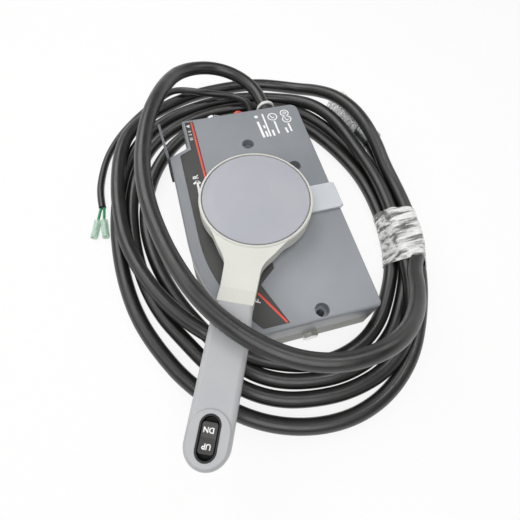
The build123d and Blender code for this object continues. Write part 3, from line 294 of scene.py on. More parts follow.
@dataclass(frozen=True)
class Sheath:
    """Black cable jacket: satin, with faint drawing lines, dust and rubbed patches."""
    name: str
    colour: Colour
    dust: Colour
    rough: float
    streak_mm: float = 1.4
    speck: Colour = (0.16, 0.155, 0.145)

    def make(self) -> Material:
        """Builds the material.

        Returns:
            The material.
        """
        shader = Shader(self.name)
        cloud = shader.span(shader.speckle(26.0, 4.0), 0.48, 0.75, 0.0, 0.45)
        specks = shader.span(shader.speckle(1.1, 2.0), 0.70, 0.78, 0.0, 0.25)
        dusty = shader.blend(cloud, self.colour, self.dust)
        polish = shader.speckle(12.0, 5.0)
        wave = shader.bump(shader.speckle(18.0, 1.0), 0.25, 0.5)
        return shader.dress({
            "Base Color": shader.blend(specks, dusty, self.speck),
            "Roughness": shader.span(polish, 0.3, 0.7, self.rough - 0.05, self.rough + 0.07),
            "Normal": shader.bump(shader.speckle(self.streak_mm, 3.0), 0.03, 0.5, wave),
            "Specular IOR Level": 0.85})


@dataclass(frozen=True)
class Metal:
    """Bare or plated metal with turning lines, smudges and rounded edges."""
    name: str
    colour: Colour
    tone: Colour
    rough: float = 0.25
    stretch: Point = (1, 1, 8)
    line_mm: float = 0.7
    line_deep: float = 0.01

    def make(self) -> Material:
        """Builds the material.

        Returns:
            The material.
        """
        shader = Shader(self.name)
        normal = shader.soft_edges(0.25)[0]
        smudge = shader.span(shader.speckle(7.0, 4.0), 0.4, 0.65, 0.0, 1.0)
        lines = shader.speckle(self.line_mm, 2.0, 0.5, self.stretch)
        return shader.dress({
            "Base Color": shader.blend(smudge, self.colour, self.tone),
            "Roughness": shader.span(smudge, 0.0, 1.0, self.rough, self.rough + 0.14),
            "Normal": shader.bump(lines, self.line_deep, 0.5, normal), "Metallic": 1.0})


@dataclass(frozen=True)
class Casting:
    """Painted die casting: pebbled skin, dull, with bright rubbed edges."""
    name: str
    colour: Colour
    tone: Colour
    edge: Colour

    def make(self) -> Material:
        """Builds the material.

        Returns:
            The material.
        """
        shader = Shader(self.name)
        normal, edges = shader.soft_edges(0.6)
        stains = shader.span(shader.speckle(22.0, 5.0), 0.38, 0.66, 0.0, 1.0)
        body = shader.blend(stains, self.colour, self.tone)
        return shader.dress({
            "Base Color": shader.blend(shader.span(edges, 0, 1, 0.0, 0.75), body, self.edge),
            "Roughness": shader.span(stains, 0.0, 1.0, 0.42, 0.58),
            "Normal": shader.bump(shader.speckle(1.1, 4.0, 0.65), 0.09, 0.6, normal),
            "Metallic": 0.35})


@dataclass(frozen=True)
class Film:
    """Thin clear wrap: mostly see-through, milky along its creases."""
    name: str
    colour: Colour
    clear: float = 0.10
    milky: float = 0.92
    crease_mm: float = 6.5
    turn: float = 0.5
    shade: Colour = (0.80, 0.81, 0.80)

    def make(self) -> Material:
        """Builds the material.

        Returns:
            The material.
        """
        shader = Shader(self.name)
        shader.material.blend_method = "HASHED"
        creases = shader.speckle(self.crease_mm, 4.0, 0.62, (0.22, 1.5, 0.8), (0.0, 0.0, self.turn))
        sharp = shader.span(creases, 0.43, 0.58, 0.0, 1.0)
        fine = shader.speckle(2.2, 2.0, 0.5, (0.35, 1.8, 0.8), (0.0, 0.0, self.turn - 0.35))
        folds = shader.bump(creases, 1.3, 0.9)
        return shader.dress({
            "Alpha": shader.span(sharp, 0.0, 1.0, self.clear, self.milky),
            "Base Color": shader.blend(shader.span(fine, 0.4, 0.6, 0, 1), self.colour, self.shade),
            "Normal": shader.bump(fine, 0.40, 0.8, folds), "Roughness": 0.12, "Specular IOR Level": 0.75})


@dataclass(frozen=True)
class Ink:
    """Screen printed ink, slightly thin in places."""
    name: str
    colour: Colour
    thin: Colour
    rough: float = 0.5

    def make(self) -> Material:
        """Builds the material.

        Returns:
            The material.
        """
        shader = Shader(self.name)
        worn = shader.span(shader.speckle(1.4, 4.0), 0.56, 0.72, 0.0, 0.7)
        return shader.dress({
            "Base Color": shader.blend(worn, self.colour, self.thin),
            "Roughness": shader.span(worn, 0.0, 0.7, self.rough, self.rough + 0.1),
            "Normal": shader.bump(shader.speckle(0.6, 2.0), 0.01, 0.5)})


@dataclass(frozen=True)
class Gel:
    """Soft clear sleeve over a terminal."""
    name: str
    colour: Colour
    thin: Colour = (0.62, 0.80, 0.68)
    alpha: float = 0.55

    def make(self) -> Material:
        """Builds the material.

        Returns:
            The material.
        """
        shader = Shader(self.name)
        shader.material.blend_method = "HASHED"
        cloud = shader.speckle(4.0, 3.0)
        return shader.dress({
            "Alpha": shader.span(cloud, 0.3, 0.7, self.alpha - 0.1, self.alpha + 0.2),
            "Base Color": shader.blend(cloud, self.colour, self.thin),
            "Normal": shader.bump(shader.speckle(1.6, 3.0), 0.12, 0.6), "Roughness": 0.18})


MADE: Dict[str, Material] = {}


class Finish(Enum):
    """Every finish on the control and its harness."""
    CASTING = Casting("die_cast_paint", (0.27, 0.265, 0.235), (0.36, 0.355, 0.32), (0.55, 0.54, 0.50))
    COVER = Moulded("cover_grey", (0.225, 0.242, 0.262), (0.262, 0.279, 0.300), (0.56, 0.58, 0.61), 0.30,
                    0.55, 0.02, 60.0, 0.7, 0.7)
    DIAL = Moulded("dial_charcoal", (0.040, 0.040, 0.036), (0.052, 0.051, 0.046), (0.12, 0.12, 0.11), 0.45,
                   0.35, 0.02, 30.0, 0.3, 0.5)
    LEVER = Moulded("lever_ivory", (0.64, 0.64, 0.585), (0.68, 0.68, 0.63), (0.80, 0.80, 0.76), 0.40, 0.7,
                    0.02, 50.0, 0.6, 0.4)
    CAP = Moulded("cap_lilac_grey", (0.385, 0.395, 0.435), (0.42, 0.415, 0.455), (0.60, 0.60, 0.63), 0.38,
                  0.4, 0.012, 55.0, 0.35, 0.3)
    GRIP = Moulded("grip_grey", (0.42, 0.425, 0.44), (0.46, 0.465, 0.475), (0.62, 0.63, 0.64), 0.42, 0.6,
                   0.03, 45.0, 0.6, 0.4)
    SWITCH = Moulded("switch_black", (0.004, 0.004, 0.004), (0.006, 0.006, 0.006), (0.030, 0.028, 0.026),
                     0.52, 0.5, 0.02, 12.0, 0.4, 0.4)
    ROCKER = Moulded("rocker_black", (0.030, 0.028, 0.027), (0.040, 0.037, 0.035), (0.14, 0.13, 0.12), 0.40,
                     0.6, 0.03, 12.0, 0.6, 0.5)
    BAND = Moulded("band_blue_grey", (0.54, 0.565, 0.60), (0.57, 0.595, 0.625), (0.66, 0.69, 0.73), 0.38,
                   0.5, 0.02, 30.0, 0.4, 0.4)
    INNER = Moulded("inner_plastic", (0.05, 0.05, 0.055), (0.06, 0.06, 0.065), (0.16, 0.16, 0.17), 0.5)
    # guard: painted highlight, pale from 72 mm and fully beyond 80 mm along Y
    GUARD = HighlitStrip("guard_black", (0.020, 0.021, 0.024), (0.21, 0.22, 0.245), 72.0, 80.0)
    STEEL = Metal("zinc_steel", (0.62, 0.61, 0.58), (0.52, 0.515, 0.50), 0.28)
    ZINC_BRIGHT = Metal("bright_zinc", (0.90, 0.90, 0.86), (0.80, 0.80, 0.77), 0.34)
    BRASS = Metal("bush_brass", (0.66, 0.50, 0.22), (0.56, 0.42, 0.18), 0.26)
    CHROME = Metal("chrome_plate", (0.78, 0.79, 0.80), (0.68, 0.69, 0.71), 0.10, (1, 8, 1))
    PLUG_METAL = Metal("plug_shell", (0.40, 0.41, 0.42), (0.28, 0.29, 0.30), 0.30, (1, 1, 1))
    STOP = Moulded("stop_red", (0.72, 0.062, 0.022), (0.64, 0.05, 0.02), (0.86, 0.25, 0.16), 0.30, 0.8,
                   0.02, 8.0, 0.4, 0.4, 0.3)
    HARNESS = Sheath("harness_black", (0.0065, 0.0062, 0.0056), (0.016, 0.0155, 0.014), 0.33)
    BOOT = Sheath("boot_black", (0.010, 0.010, 0.0095), (0.022, 0.022, 0.020), 0.42)
    TIE = Moulded("tie_white", (0.74, 0.74, 0.72), (0.68, 0.68, 0.66), (0.84, 0.84, 0.82), 0.38, 0.6, 0.02,
                  9.0)
    FILM = Film("clear_film", (0.92, 0.92, 0.90))
    PLUG_FILM = Film("plug_film", (0.80, 0.81, 0.80), 0.22, 0.85, 3.0, -0.3)
    SLEEVE = Gel("sleeve_clear", (0.50, 0.74, 0.58))
    WIRE_GREEN = Moulded("wire_green", (0.025, 0.26, 0.10), (0.03, 0.30, 0.12), (0.10, 0.45, 0.25), 0.35)
    WHITE_INK = Ink("white_ink", (0.88, 0.88, 0.87), (0.66, 0.66, 0.65))
    RED_INK = Ink("red_ink", (0.82, 0.075, 0.055), (0.70, 0.075, 0.06))
    # black: painted shade, on blocks that stand in for the depth of the screw recesses and the keyway
    RECESS_SHADE = Moulded("recess_painted_shade", (0.02, 0.02, 0.02), (0.035, 0.035, 0.033), (0.2, 0.2, 0.19), 0.5)

    @property
    def material(self) -> Material:
        """The finish's material, built when it is first asked for.

        Returns:
            The material.
        """
        if self.value.name not in MADE:
            MADE[self.value.name] = self.value.make()
        return MADE[self.value.name]


# ---------------------------------------------------------------- mesh helpers
def new_piece(name: str, data: bpy.types.ID) -> Object:
    """Puts a mesh, curve, light or camera into the scene.

    Args:
        name: Name of the object.
        data: What it shows.

    Returns:
        The object, at the origin.
    """
    made = bpy.data.objects.new(name, data)
    bpy.context.scene.collection.objects.link(made)
    return made


def mesh_of(name: str, work: bmesh.types.BMesh) -> Mesh:
    """Turns a mesh under work into a plain one, and ends the work.

    Args:
        name: Name of the mesh.
        work: The mesh under work.

    Returns:
        The mesh.
    """
    made = bpy.data.meshes.new(name)
    work.to_mesh(made)
    work.free()
    return made


def mesh_from(name: str, points: Sequence, faces: Sequence, smooth: bool = True) -> Mesh:
    """Builds a closed mesh whose normals point outwards.

    Args:
        name: Name of the mesh.
        points: Vertices in metres.
        faces: Vertex numbers of each face.
        smooth: Whether its faces are shaded smooth.

    Returns:
        The mesh.
    """
    made = bpy.data.meshes.new(name)
    made.from_pydata([tuple(point) for point in points], [], [tuple(face) for face in faces])
    work = bmesh.new()
    work.from_mesh(made)
    bmesh.ops.remove_doubles(work, verts=work.verts, dist=1e-7)
    bmesh.ops.recalc_face_normals(work, faces=work.faces)
    for face in work.faces:
        face.smooth = smooth
    work.to_mesh(made)
    work.free()
    return made


def joined(name: str, meshes: Sequence[Mesh]) -> Mesh:
    """One mesh that holds several.

    Args:
        name: Name of the mesh.
        meshes: What it holds.

    Returns:
        The mesh.
    """
    work = bmesh.new()
    for mesh in meshes:
        work.from_mesh(mesh)
    return mesh_of(name, work)


def plain_mesh(thing: Object, name: str) -> Mesh:
    """Mesh of an object with its modifiers, or of a curve, as it looks now.

    Args:
        thing: The object.
        name: Name of the mesh.

    Returns:
        The mesh.
    """
    depsgraph = bpy.context.evaluated_depsgraph_get()
    made = bpy.data.meshes.new_from_object(thing.evaluated_get(depsgraph), depsgraph=depsgraph)
    made.name = name
    return made


def turned(points: Sequence[Spot], sides: int, frame_at: Matrix, name: str) -> Mesh:
    """Solid of revolution from (radius, height) points, closed at both ends.

    Args:
        points: Profile in millimetres, from the low end to the high end.
        sides: Segments round.
        frame_at: Place of the axis: Z along the solid.
        name: Name of the mesh.

    Returns:
        The mesh.
    """
    vertices, faces = [], []
    for radius, height in points:
        for step in range(sides):
            angle = 2 * math.pi * step / sides
            spot = Vector((radius * math.cos(angle), radius * math.sin(angle), height))
            vertices.append(frame_at @ spot * MM)
    for ring in range(len(points) - 1):
        for step in range(sides):
            after = (step + 1) % sides
            low, high = ring * sides, (ring + 1) * sides
            faces.append((low + step, low + after, high + after, high + step))
    faces.append(tuple(range(sides)))
    faces.append(tuple((len(points) - 1) * sides + step for step in range(sides)))
    return mesh_from(name, vertices, faces)


def finished(name: str, mesh: Mesh, finish: Finish, body: Body, slot: str) -> Object:
    """Makes a piece with its finish that rides on a body.

    Args:
        name: Name of the piece.
        mesh: Its mesh, in place.
        finish: Its finish.
        body: The body that it moves with.
        slot: The record's material slot. Not used.

    Returns:
        The piece.
    """
    made = new_piece(name, mesh)
    made.data.materials.clear()
    made.data.materials.append(finish.material)
    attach(made, body.value)
    LOG.info("piece %s rides on %s", name, body.value)
    return made


# ---------------------------------------------------------------- repeated details
class RepeatTree:
    """Geometry Nodes tree that copies one piece round a circle, turned outwards."""

    def __init__(self, name: str, part: Object) -> None:
        """Builds the tree.

        Args:
            name: Name of the tree.
            part: The object that it copies.
        """
        self.part = part
        self.tree = bpy.data.node_groups.new(name, "GeometryNodeTree")
        face = self.tree.interface
        face.new_socket("Geometry", in_out="INPUT", socket_type="NodeSocketGeometry")
        self.inputs = {}
        for label, kind in (("Count", "Int"), ("Radius", "Float"), ("Finish", "Material")):
            made = face.new_socket(label, in_out="INPUT", socket_type="NodeSocket" + kind)
            self.inputs[label] = made.identifier
        face.new_socket("Geometry", in_out="OUTPUT", socket_type="NodeSocketGeometry")
        self.build()

    def build(self) -> None:
        """Fills the tree: points on a circle, copies turned outwards, made real, given their finish."""
        make, link = self.tree.nodes.new, self.tree.links.new
        given, result = make("NodeGroupInput"), make("NodeGroupOutput")
        circle = make("GeometryNodeMeshCircle")
        link(given.outputs["Count"], circle.inputs["Vertices"])
        link(given.outputs["Radius"], circle.inputs["Radius"])
        place, parts = make("GeometryNodeInputPosition"), make("ShaderNodeSeparateXYZ")
        angle = make("ShaderNodeMath")
        link(place.outputs[0], parts.inputs[0])
        angle.operation = "ARCTAN2"
        link(parts.outputs["Y"], angle.inputs[0])
        link(parts.outputs["X"], angle.inputs[1])
        turn = make("ShaderNodeCombineXYZ")
        link(angle.outputs[0], turn.inputs["Z"])
        source = make("GeometryNodeObjectInfo")
        source.inputs["Object"].default_value = self.part
        copies = make("GeometryNodeInstanceOnPoints")
        link(circle.outputs["Mesh"], copies.inputs["Points"])
        link(source.outputs["Geometry"], copies.inputs["Instance"])
        link(turn.outputs[0], copies.inputs["Rotation"])
        real, dress = make("GeometryNodeRealizeInstances"), make("GeometryNodeSetMaterial")
        link(copies.outputs[0], real.inputs[0])
        link(real.outputs[0], dress.inputs["Geometry"])
        link(given.outputs["Finish"], dress.inputs["Material"])
        link(dress.outputs[0], result.inputs[0])

    def grow(self, name: str, count: int, radius_mm: float, finish: Finish, place: Matrix) -> Mesh:
        """Runs the tree and gives the copies as one plain mesh in their place.

        Args:
            name: Name of the mesh.
            count: How many copies go round.
            radius_mm: Radius of the ring that they stand on.
            finish: Finish of the copies.
            place: Place of the ring in metres: Z along its axis.

        Returns:
            The mesh.
        """
        host = new_piece(name + "_host", bpy.data.meshes.new(name + "_host"))
        nodes = host.modifiers.new("ring", "NODES")
        nodes.node_group = self.tree
        values = {"Count": count, "Radius": radius_mm * MM, "Finish": finish.material}
        for label, value in values.items():
            nodes[self.inputs[label]] = value
        made = plain_mesh(host, name)
        made.transform(place)
        host.modifiers.remove(nodes)
        bpy.data.objects.remove(host)
        return made


def rounded_block(name: str, size: Point, rounding: float, profile: float = 0.5) -> Mesh:
    """Small rounded block, centred.

    Args:
        name: Name of the mesh.
        size: Its sides in millimetres.
        rounding: Radius of its edges in millimetres.
        profile: Shape of its edges, 0.5 for round ones.

    Returns:
        The mesh.
    """
    work = bmesh.new()
    bmesh.ops.create_cube(work, size=1.0)
    bmesh.ops.scale(work, vec=Vector(size) * MM, verts=work.verts)
    bmesh.ops.bevel(work, geom=work.edges[:], offset=rounding * MM, segments=2, affect="EDGES",
                    profile=profile)
    return mesh_of(name, work)


def ring_of(name: str, block: Tuple[Point, float], count: int, radius_mm: float, places: Sequence[Matrix],
            finish: Finish, body: Body, slot: str) -> Object:
    """Piece of rounded blocks round a circle, at one place or several.

    Args:
        name: Name of the piece.
        block: The block's sides and its edge radius, in millimetres.
        count: How many go round.
        radius_mm: Radius of the circle.
        places: Where each circle is, Z along its axis.
        finish: Their finish.
        body: The body that they move with.
        slot: The record's material slot.

    Returns:
        The piece.
    """
    part = new_piece(name + "_part", rounded_block(name + "_part", *block))
    tree = RepeatTree(name, part)
    rings = [tree.grow(name, count, radius_mm, finish, place) for place in places]
    bpy.data.objects.remove(part)
    return finished(name, joined(name, rings), finish, body, slot)


# ---------------------------------------------------------------- printed marks
@dataclass
class Marks:
    """Printed marks, laid on the surface of a CAD node as thin ink. Sizes are in millimetres.

    A line has its width and points. A ring has its centre, radius, width and number of sides. Letters have
    their text, height, centre, direction in degrees from +X and extra stroke weight.
    """
    name: str
    node: str
    finish: Finish
    body: Body
    slot: str
    lines: Tuple[Tuple[float, Tuple[Spot, ...]], ...] = ()
    rings: Tuple[Tuple[Spot, float, float, int], ...] = ()
    shapes: Tuple[Tuple[Spot, ...], ...] = ()
    letters: Tuple[Tuple[str, float, Spot, float, float], ...] = ()
    thick: float = 0.05
    meshes: List[Mesh] = field(default_factory=list)

    def outline(self, points: Sequence[Spot]) -> None:
        """Adds a flat shape.

        Args:
            points: Its outline.
        """
        work = bmesh.new()
        work.faces.new([work.verts.new((x * MM, y * MM, 0.0)) for x, y in points])
        self.meshes.append(mesh_of("mark", work))

    def stroke(self, width: float, points: Sequence[Spot]) -> None:
        """Adds a line of one width.

        Args:
            width: Its width.
            points: Points that it passes.
        """
        for (ax, ay), (bx, by) in zip(points, points[1:]):
            length = math.hypot(bx - ax, by - ay)
            nx, ny = -(by - ay) / length * width / 2, (bx - ax) / length * width / 2
            steps = max(1, int(length / STROKE_STEP))
            for step in range(steps):
                ends = []
                for share in (step / steps, (step + 1) / steps):
                    ends.append((ax + (bx - ax) * share, ay + (by - ay) * share))
                (px, py), (qx, qy) = ends
                self.outline([(px - nx, py - ny), (qx - nx, qy - ny), (qx + nx, qy + ny), (px + nx, py + ny)])

    def ring(self, centre: Spot, radius: float, width: float, steps: int) -> None:
        """Adds a ring of one width.

        Args:
            centre: Its centre.
            radius: Radius of its middle line.
            width: Its width.
            steps: Sides round.
        """
        low, high = radius - width / 2, radius + width / 2
        rim = []
        for step in range(steps + 1):
            angle = 2 * math.pi * step / steps
            rim.append((math.cos(angle), math.sin(angle)))
        for first, second in zip(rim, rim[1:]):
            corners = ((first, low), (first, high), (second, high), (second, low))
            self.outline([(centre[0] + x * reach, centre[1] + y * reach) for (x, y), reach in corners])

    def words(self, text: str, size: float, at: Spot, turn: float, bold: float) -> None:
        """Adds plain lettering.

        Args:
            text: The letters.
            size: Letter height.
            at: Centre of the word.
            turn: Direction in which it reads, in degrees from +X.
            bold: Extra stroke weight.
        """
        curve = bpy.data.curves.new("letters", "FONT")
        curve.body = text
        curve.size = size * MM / CAP_HEIGHT
        curve.align_x, curve.align_y = "CENTER", "CENTER"
        curve.offset = bold * MM
        curve.resolution_u = 4
        host = new_piece("letters", curve)
        bpy.context.view_layer.update()
        mesh = plain_mesh(host, "letters")
        bpy.data.objects.remove(host)
        place = Matrix.Translation((at[0] * MM, at[1] * MM, 0.0))
        mesh.transform(place @ Matrix.Rotation(math.radians(turn), 4, "Z"))
        self.meshes.append(mesh)

    def draw(self) -> None:
        """Draws every mark, flat."""
        for line in self.lines:
            self.stroke(*line)
        for ring in self.rings:
            self.ring(*ring)
        for shape in self.shapes:
            self.outline(shape)
        for letters in self.letters:
            self.words(*letters)

    def lay(self) -> Object:
        """Drops the marks on their node's surface and thickens them.

        Returns:
            The finished piece.
        """
        self.draw()
        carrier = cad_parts[self.node]
        depsgraph = bpy.context.evaluated_depsgraph_get()
        tree = BVHTree.FromObject(carrier, depsgraph)
        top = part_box(self.node)[1][2] + 0.01
        work = bmesh.new()
        for mesh in self.meshes:
            work.from_mesh(mesh)
        bmesh.ops.remove_doubles(work, verts=work.verts, dist=1e-6)
        bmesh.ops.triangulate(work, faces=work.faces)
        missed = []
        for vertex in work.verts:
            hit = tree.ray_cast(Vector((vertex.co.x, vertex.co.y, top)), DOWN)[0]
            if hit is None:
                missed.append(vertex)
            else:
                vertex.co.z = hit.z + INK_GAP * MM
        bmesh.ops.delete(work, geom=missed, context="VERTS")
        bmesh.ops.recalc_face_normals(work, faces=work.faces)
        for face in [face for face in work.faces if face.normal.z < 0]:
            face.normal_flip()
        grown = bmesh.ops.extrude_face_region(work, geom=work.faces[:])
        for item in grown["geom"]:
            if isinstance(item, bmesh.types.BMVert):
                item.co.z += self.thick * MM
        bmesh.ops.recalc_face_normals(work, faces=work.faces)
        return finished(self.name, mesh_of(self.name, work), self.finish, self.body, self.slot)


def on_lever(radius: float, side: float = 0.0, angle: float = 246.0) -> Spot:
    """Plan point on the lever.

    Args:
        radius: Distance along it from the hub's axis, in millimetres.
        side: Distance to its side.
        angle: Direction of the lever at rest, in degrees.

    Returns:
        The point.
    """
    turn = math.radians(angle)
    x, y = math.cos(turn), math.sin(turn)
    return (radius * x - side * y, radius * y + side * x)


def end_of(node: str) -> Tuple[Vector, float, float]:
    """Measures a round node that points aft.

    Args:
        node: Its name.

    Returns:
        The middle of its aft end in metres, its radius and its length in millimetres.
    """
    low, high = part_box(node)
    centre = Vector(((low[0] + high[0]) / 2, high[1], (low[2] + high[2]) / 2))
    return centre, (high[0] - low[0]) / 2 / MM, (high[1] - low[1]) / MM


# ---------------------------------------------------------------- sub-assemblies
NODES_OF: Dict[Finish, str] = {
    Finish.STEEL: "cover_screws main_shaft drive_gear shift_sector throttle_sector shift_arm throttle_arm"
                  " shift_axle throttle_axle detent_plate detent_spring detent_posts lever_bolt grip_screws"
                  " interlock_rod",
    Finish.BRASS: "front_bush rear_bush detent_roller", Finish.ZINC_BRIGHT: "friction_screw",
    Finish.CHROME: "key_bezel key_barrel bullet_terminals", Finish.PLUG_METAL: "harness_plug",
    Finish.COVER: "front_cover", Finish.CASTING: "back_body", Finish.DIAL: "dial_plate",
    Finish.GUARD: "cable_guard", Finish.BAND: "neutral_throttle_lever", Finish.LEVER: "lever_arm",
    Finish.CAP: "lever_cap", Finish.GRIP: "grip_front grip_back", Finish.ROCKER: "trim_rocker",
    Finish.SWITCH: "trim_switch interlock_trigger", Finish.INNER: "neutral_switch key_switch stop_switch",
    Finish.STOP: "stop_button", Finish.BOOT: "harness_grommet aux_grommet", Finish.TIE: "harness_tie",
    Finish.WIRE_GREEN: "aux_wires", Finish.SLEEVE: "bullet_sleeves",
    Finish.HARNESS: "harness_lead harness_coil aux_lead", Finish.FILM: "coil_wrap plug_wrap",
}


@dataclass
class CarriedNodes:
    """The rigid solids that keep their shape and get their finish here."""
    nodes_of: Dict[Finish, str]

    def dress(self) -> None:
        """Assigns each node's finish to its slots."""
        finish_of = {name: finish for finish, names in self.nodes_of.items() for name in names.split()}
        for name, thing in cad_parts.items():
            material = finish_of[name].material
            if not thing.material_slots:
                thing.data.materials.append(material)
            for place in thing.material_slots:
                place.material = material
            LOG.info("node %s is %s", name, finish_of[name].value.name)


BOX_PRINTS: Tuple[Marks, ...] = (
    Marks("dial_red_line", "dial_plate", Finish.RED_INK, Body.HOUSING, "dial_dark",
          lines=((1.7, ((-36.0, 115.6), (-36.0, 36.0))), (1.7, ((-18.5, -77.2), (-2.8, -105.5))))),
    Marks("dial_letters", "dial_plate", Finish.WHITE_INK, Body.HOUSING, "dial_dark",
          lines=((1.9, ((-44.0, 42.4), (-47.6, 39.5))), (1.9, ((-44.0, 42.4), (-41.6, 39.0))),
                 (1.9, ((-44.0, 42.4), (-44.3, 33.5), (-44.8, 26.5)))),
          shapes=(((-42.0, 111.6), (-38.3, 112.7), (-39.0, 108.7)),),
          letters=(("R", 5.0, (-44.4, 46.9), 90, 0.22), ("F", 5.0, (-20.0, -83.7), 60, 0.14),
                   ("0  5  10", 2.8, (-39.9, 98.4), -90, 0.12))),
    Marks("key_chart", "front_cover", Finish.WHITE_INK, Body.HOUSING, "cover_grey",
          lines=((1.0, ((43.6, 107.6), (45.4, 102.9), (47.5, 104.6))), (1.8, ((46.2, 98.8), (46.4, 81.6))),
                 (1.0, ((57.8, 101.7), (59.1, 97.1), (61.3, 98.6))), (1.8, ((59.1, 92.8), (59.7, 81.7))),
                 (2.4, ((29.3, 101.5), (30.4, 79.5))), (1.7, ((36.5, 110.9), (37.1, 79.6))),
                 (1.8, ((33.9, 95.4), (34.3, 91.3))), (1.9, ((33.9, 87.3), (34.3, 79.7))),
                 (2.1, ((41.0, 87.6), (41.1, 79.6))), (2.1, ((54.7, 87.7), (55.5, 80.6)))),
          rings=(((45.8, 105.0), 4.6, 1.1, 20), ((59.4, 98.9), 4.3, 1.1, 20), ((59.3, 107.5), 4.1, 1.1, 20),
                 ((59.3, 107.5), 1.5, 0.8, 12), ((29.5, 108.3), 1.2, 1.6, 10))),
)


@dataclass
class Housing:
    """Marks and small fittings of the box. Sizes are in millimetres."""
    prints: Tuple[Marks, ...] = BOX_PRINTS
    screws: Tuple[Spot, ...] = ((64, 104), (64, -98), (-53.5, 60), (-34.5, 108), (-44, -62))
    blade: Tuple[Point, float] = ((2.3, 0.62, 0.5), 0.1)
    blade_r: float = 1.05
    blade_z: float = 0.15
    boot_at: Point = (46, 0, 33.5)
    boot_r: Spot = (7.7, 8.35)
    rib_starts: Point = (121.6, 123.6, 125.6)
    rib_steps: Tuple[float, ...] = (0.0, 0.35, 0.95, 1.3)

    def build(self) -> List[Object]:
        """Makes every piece of the housing."""
        return [marks.lay() for marks in self.prints] + [self.screw_drives(), self.boot_ribs()]

    def screw_drives(self) -> Object:
        """Cross recesses in the heads of the cover screws, at the back, drawn as black blocks: painted shade
        in the recesses.

        Returns:
            The piece.
        """
        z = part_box("cover_screws")[0][2] + self.blade_z * MM
        places = [Matrix.Translation((x * MM, y * MM, z)) for x, y in self.screws]
        return ring_of("screw_drives", self.blade, 4, self.blade_r, places, Finish.RECESS_SHADE, Body.HOUSING,
                       "steel")

    def boot_ribs(self) -> Object:
        """Rings on the harness boot, between the flange and the tie.

        Returns:
            The piece.
        """
        axis = Matrix.Translation(self.boot_at) @ QUARTER_BACK
        foot, crest = self.boot_r
        rings = []
        for start in self.rib_starts:
            heights = [start + step for step in self.rib_steps]
            rings.append(turned(list(zip((foot, crest, crest, foot), heights)), 40, axis, "rib"))
        return finished("boot_ribs", joined("boot_ribs", rings), Finish.BOOT, Body.HOUSING, "harness_black")


@dataclass
class Controls:
    """Marks and details of the rocker, the key lock and the stop button. Sizes are in millimetres."""
    rocker_r: float = 184.5
    letter: float = 3.2
    letter_bold: float = 0.14
    letter_turn: float = 156.0
    flutes: int = 36
    flute: Spot = (0.5, 0.8)
    slot: Tuple[Point, float] = ((1.4, 0.3, 7.0), 0.08)
    ridges: int = 30
    ridge: Tuple[Point, float] = ((0.36, 0.9, 2.4), 0.14)

    def build(self) -> List[Object]:
        """Makes every piece of the controls."""
        return [self.rocker_letters(), self.bezel_flutes(), self.keyway(), self.button_ridges()]

    def rocker_letters(self) -> Object:
        """UP towards the grip's end and DN towards the hub, upright when the lever stands up.

        Returns:
            The piece.
        """
        letters = []
        for text, along, side in (("UP", 4.6, 0.0), ("DN", -4.4, -0.4)):
            at = on_lever(self.rocker_r + along, side)
            letters.append((text, self.letter, at, self.letter_turn, self.letter_bold))
        return Marks("rocker_letters", "trim_rocker", Finish.WHITE_INK, Body.ROCKER, "switch_dark",
                     letters=tuple(letters)).lay()

    def bezel_flutes(self) -> Object:
        """Flutes round the key lock's bezel.

        Returns:
            The piece.
        """
        end, radius, length = end_of("key_bezel")
        place = Matrix.Translation(end - Vector((0, length / 2 * MM, 0))) @ QUARTER_BACK
        flute = ((*self.flute, length * 0.55), 0.2)
        return ring_of("bezel_flutes", flute, self.flutes, radius, [place], Finish.CHROME, Body.HOUSING,
                       "chrome")

    def keyway(self) -> Object:
        """Slot of the key lock's barrel, drawn as a black block: painted shade in the slot.

        Returns:
            The piece.
        """
        mesh = rounded_block("keyway", *self.slot, profile=0.0)
        mesh.transform(Matrix.Translation(end_of("key_barrel")[0] + Vector((0, 0.05 * MM, 0))))
        return finished("keyway", mesh, Finish.RECESS_SHADE, Body.KEY, "chrome")

    def button_ridges(self) -> Object:
        """Finger ridge round the stop button's cap.

        Returns:
            The piece.
        """
        end, radius, _ = end_of("stop_button")
        place = Matrix.Translation(end - Vector((0, self.ridge[0][2] * MM, 0))) @ QUARTER_BACK
        return ring_of("button_ridges", self.ridge, self.ridges, radius, [place], Finish.STOP, Body.STOP,
                       "stop_red")


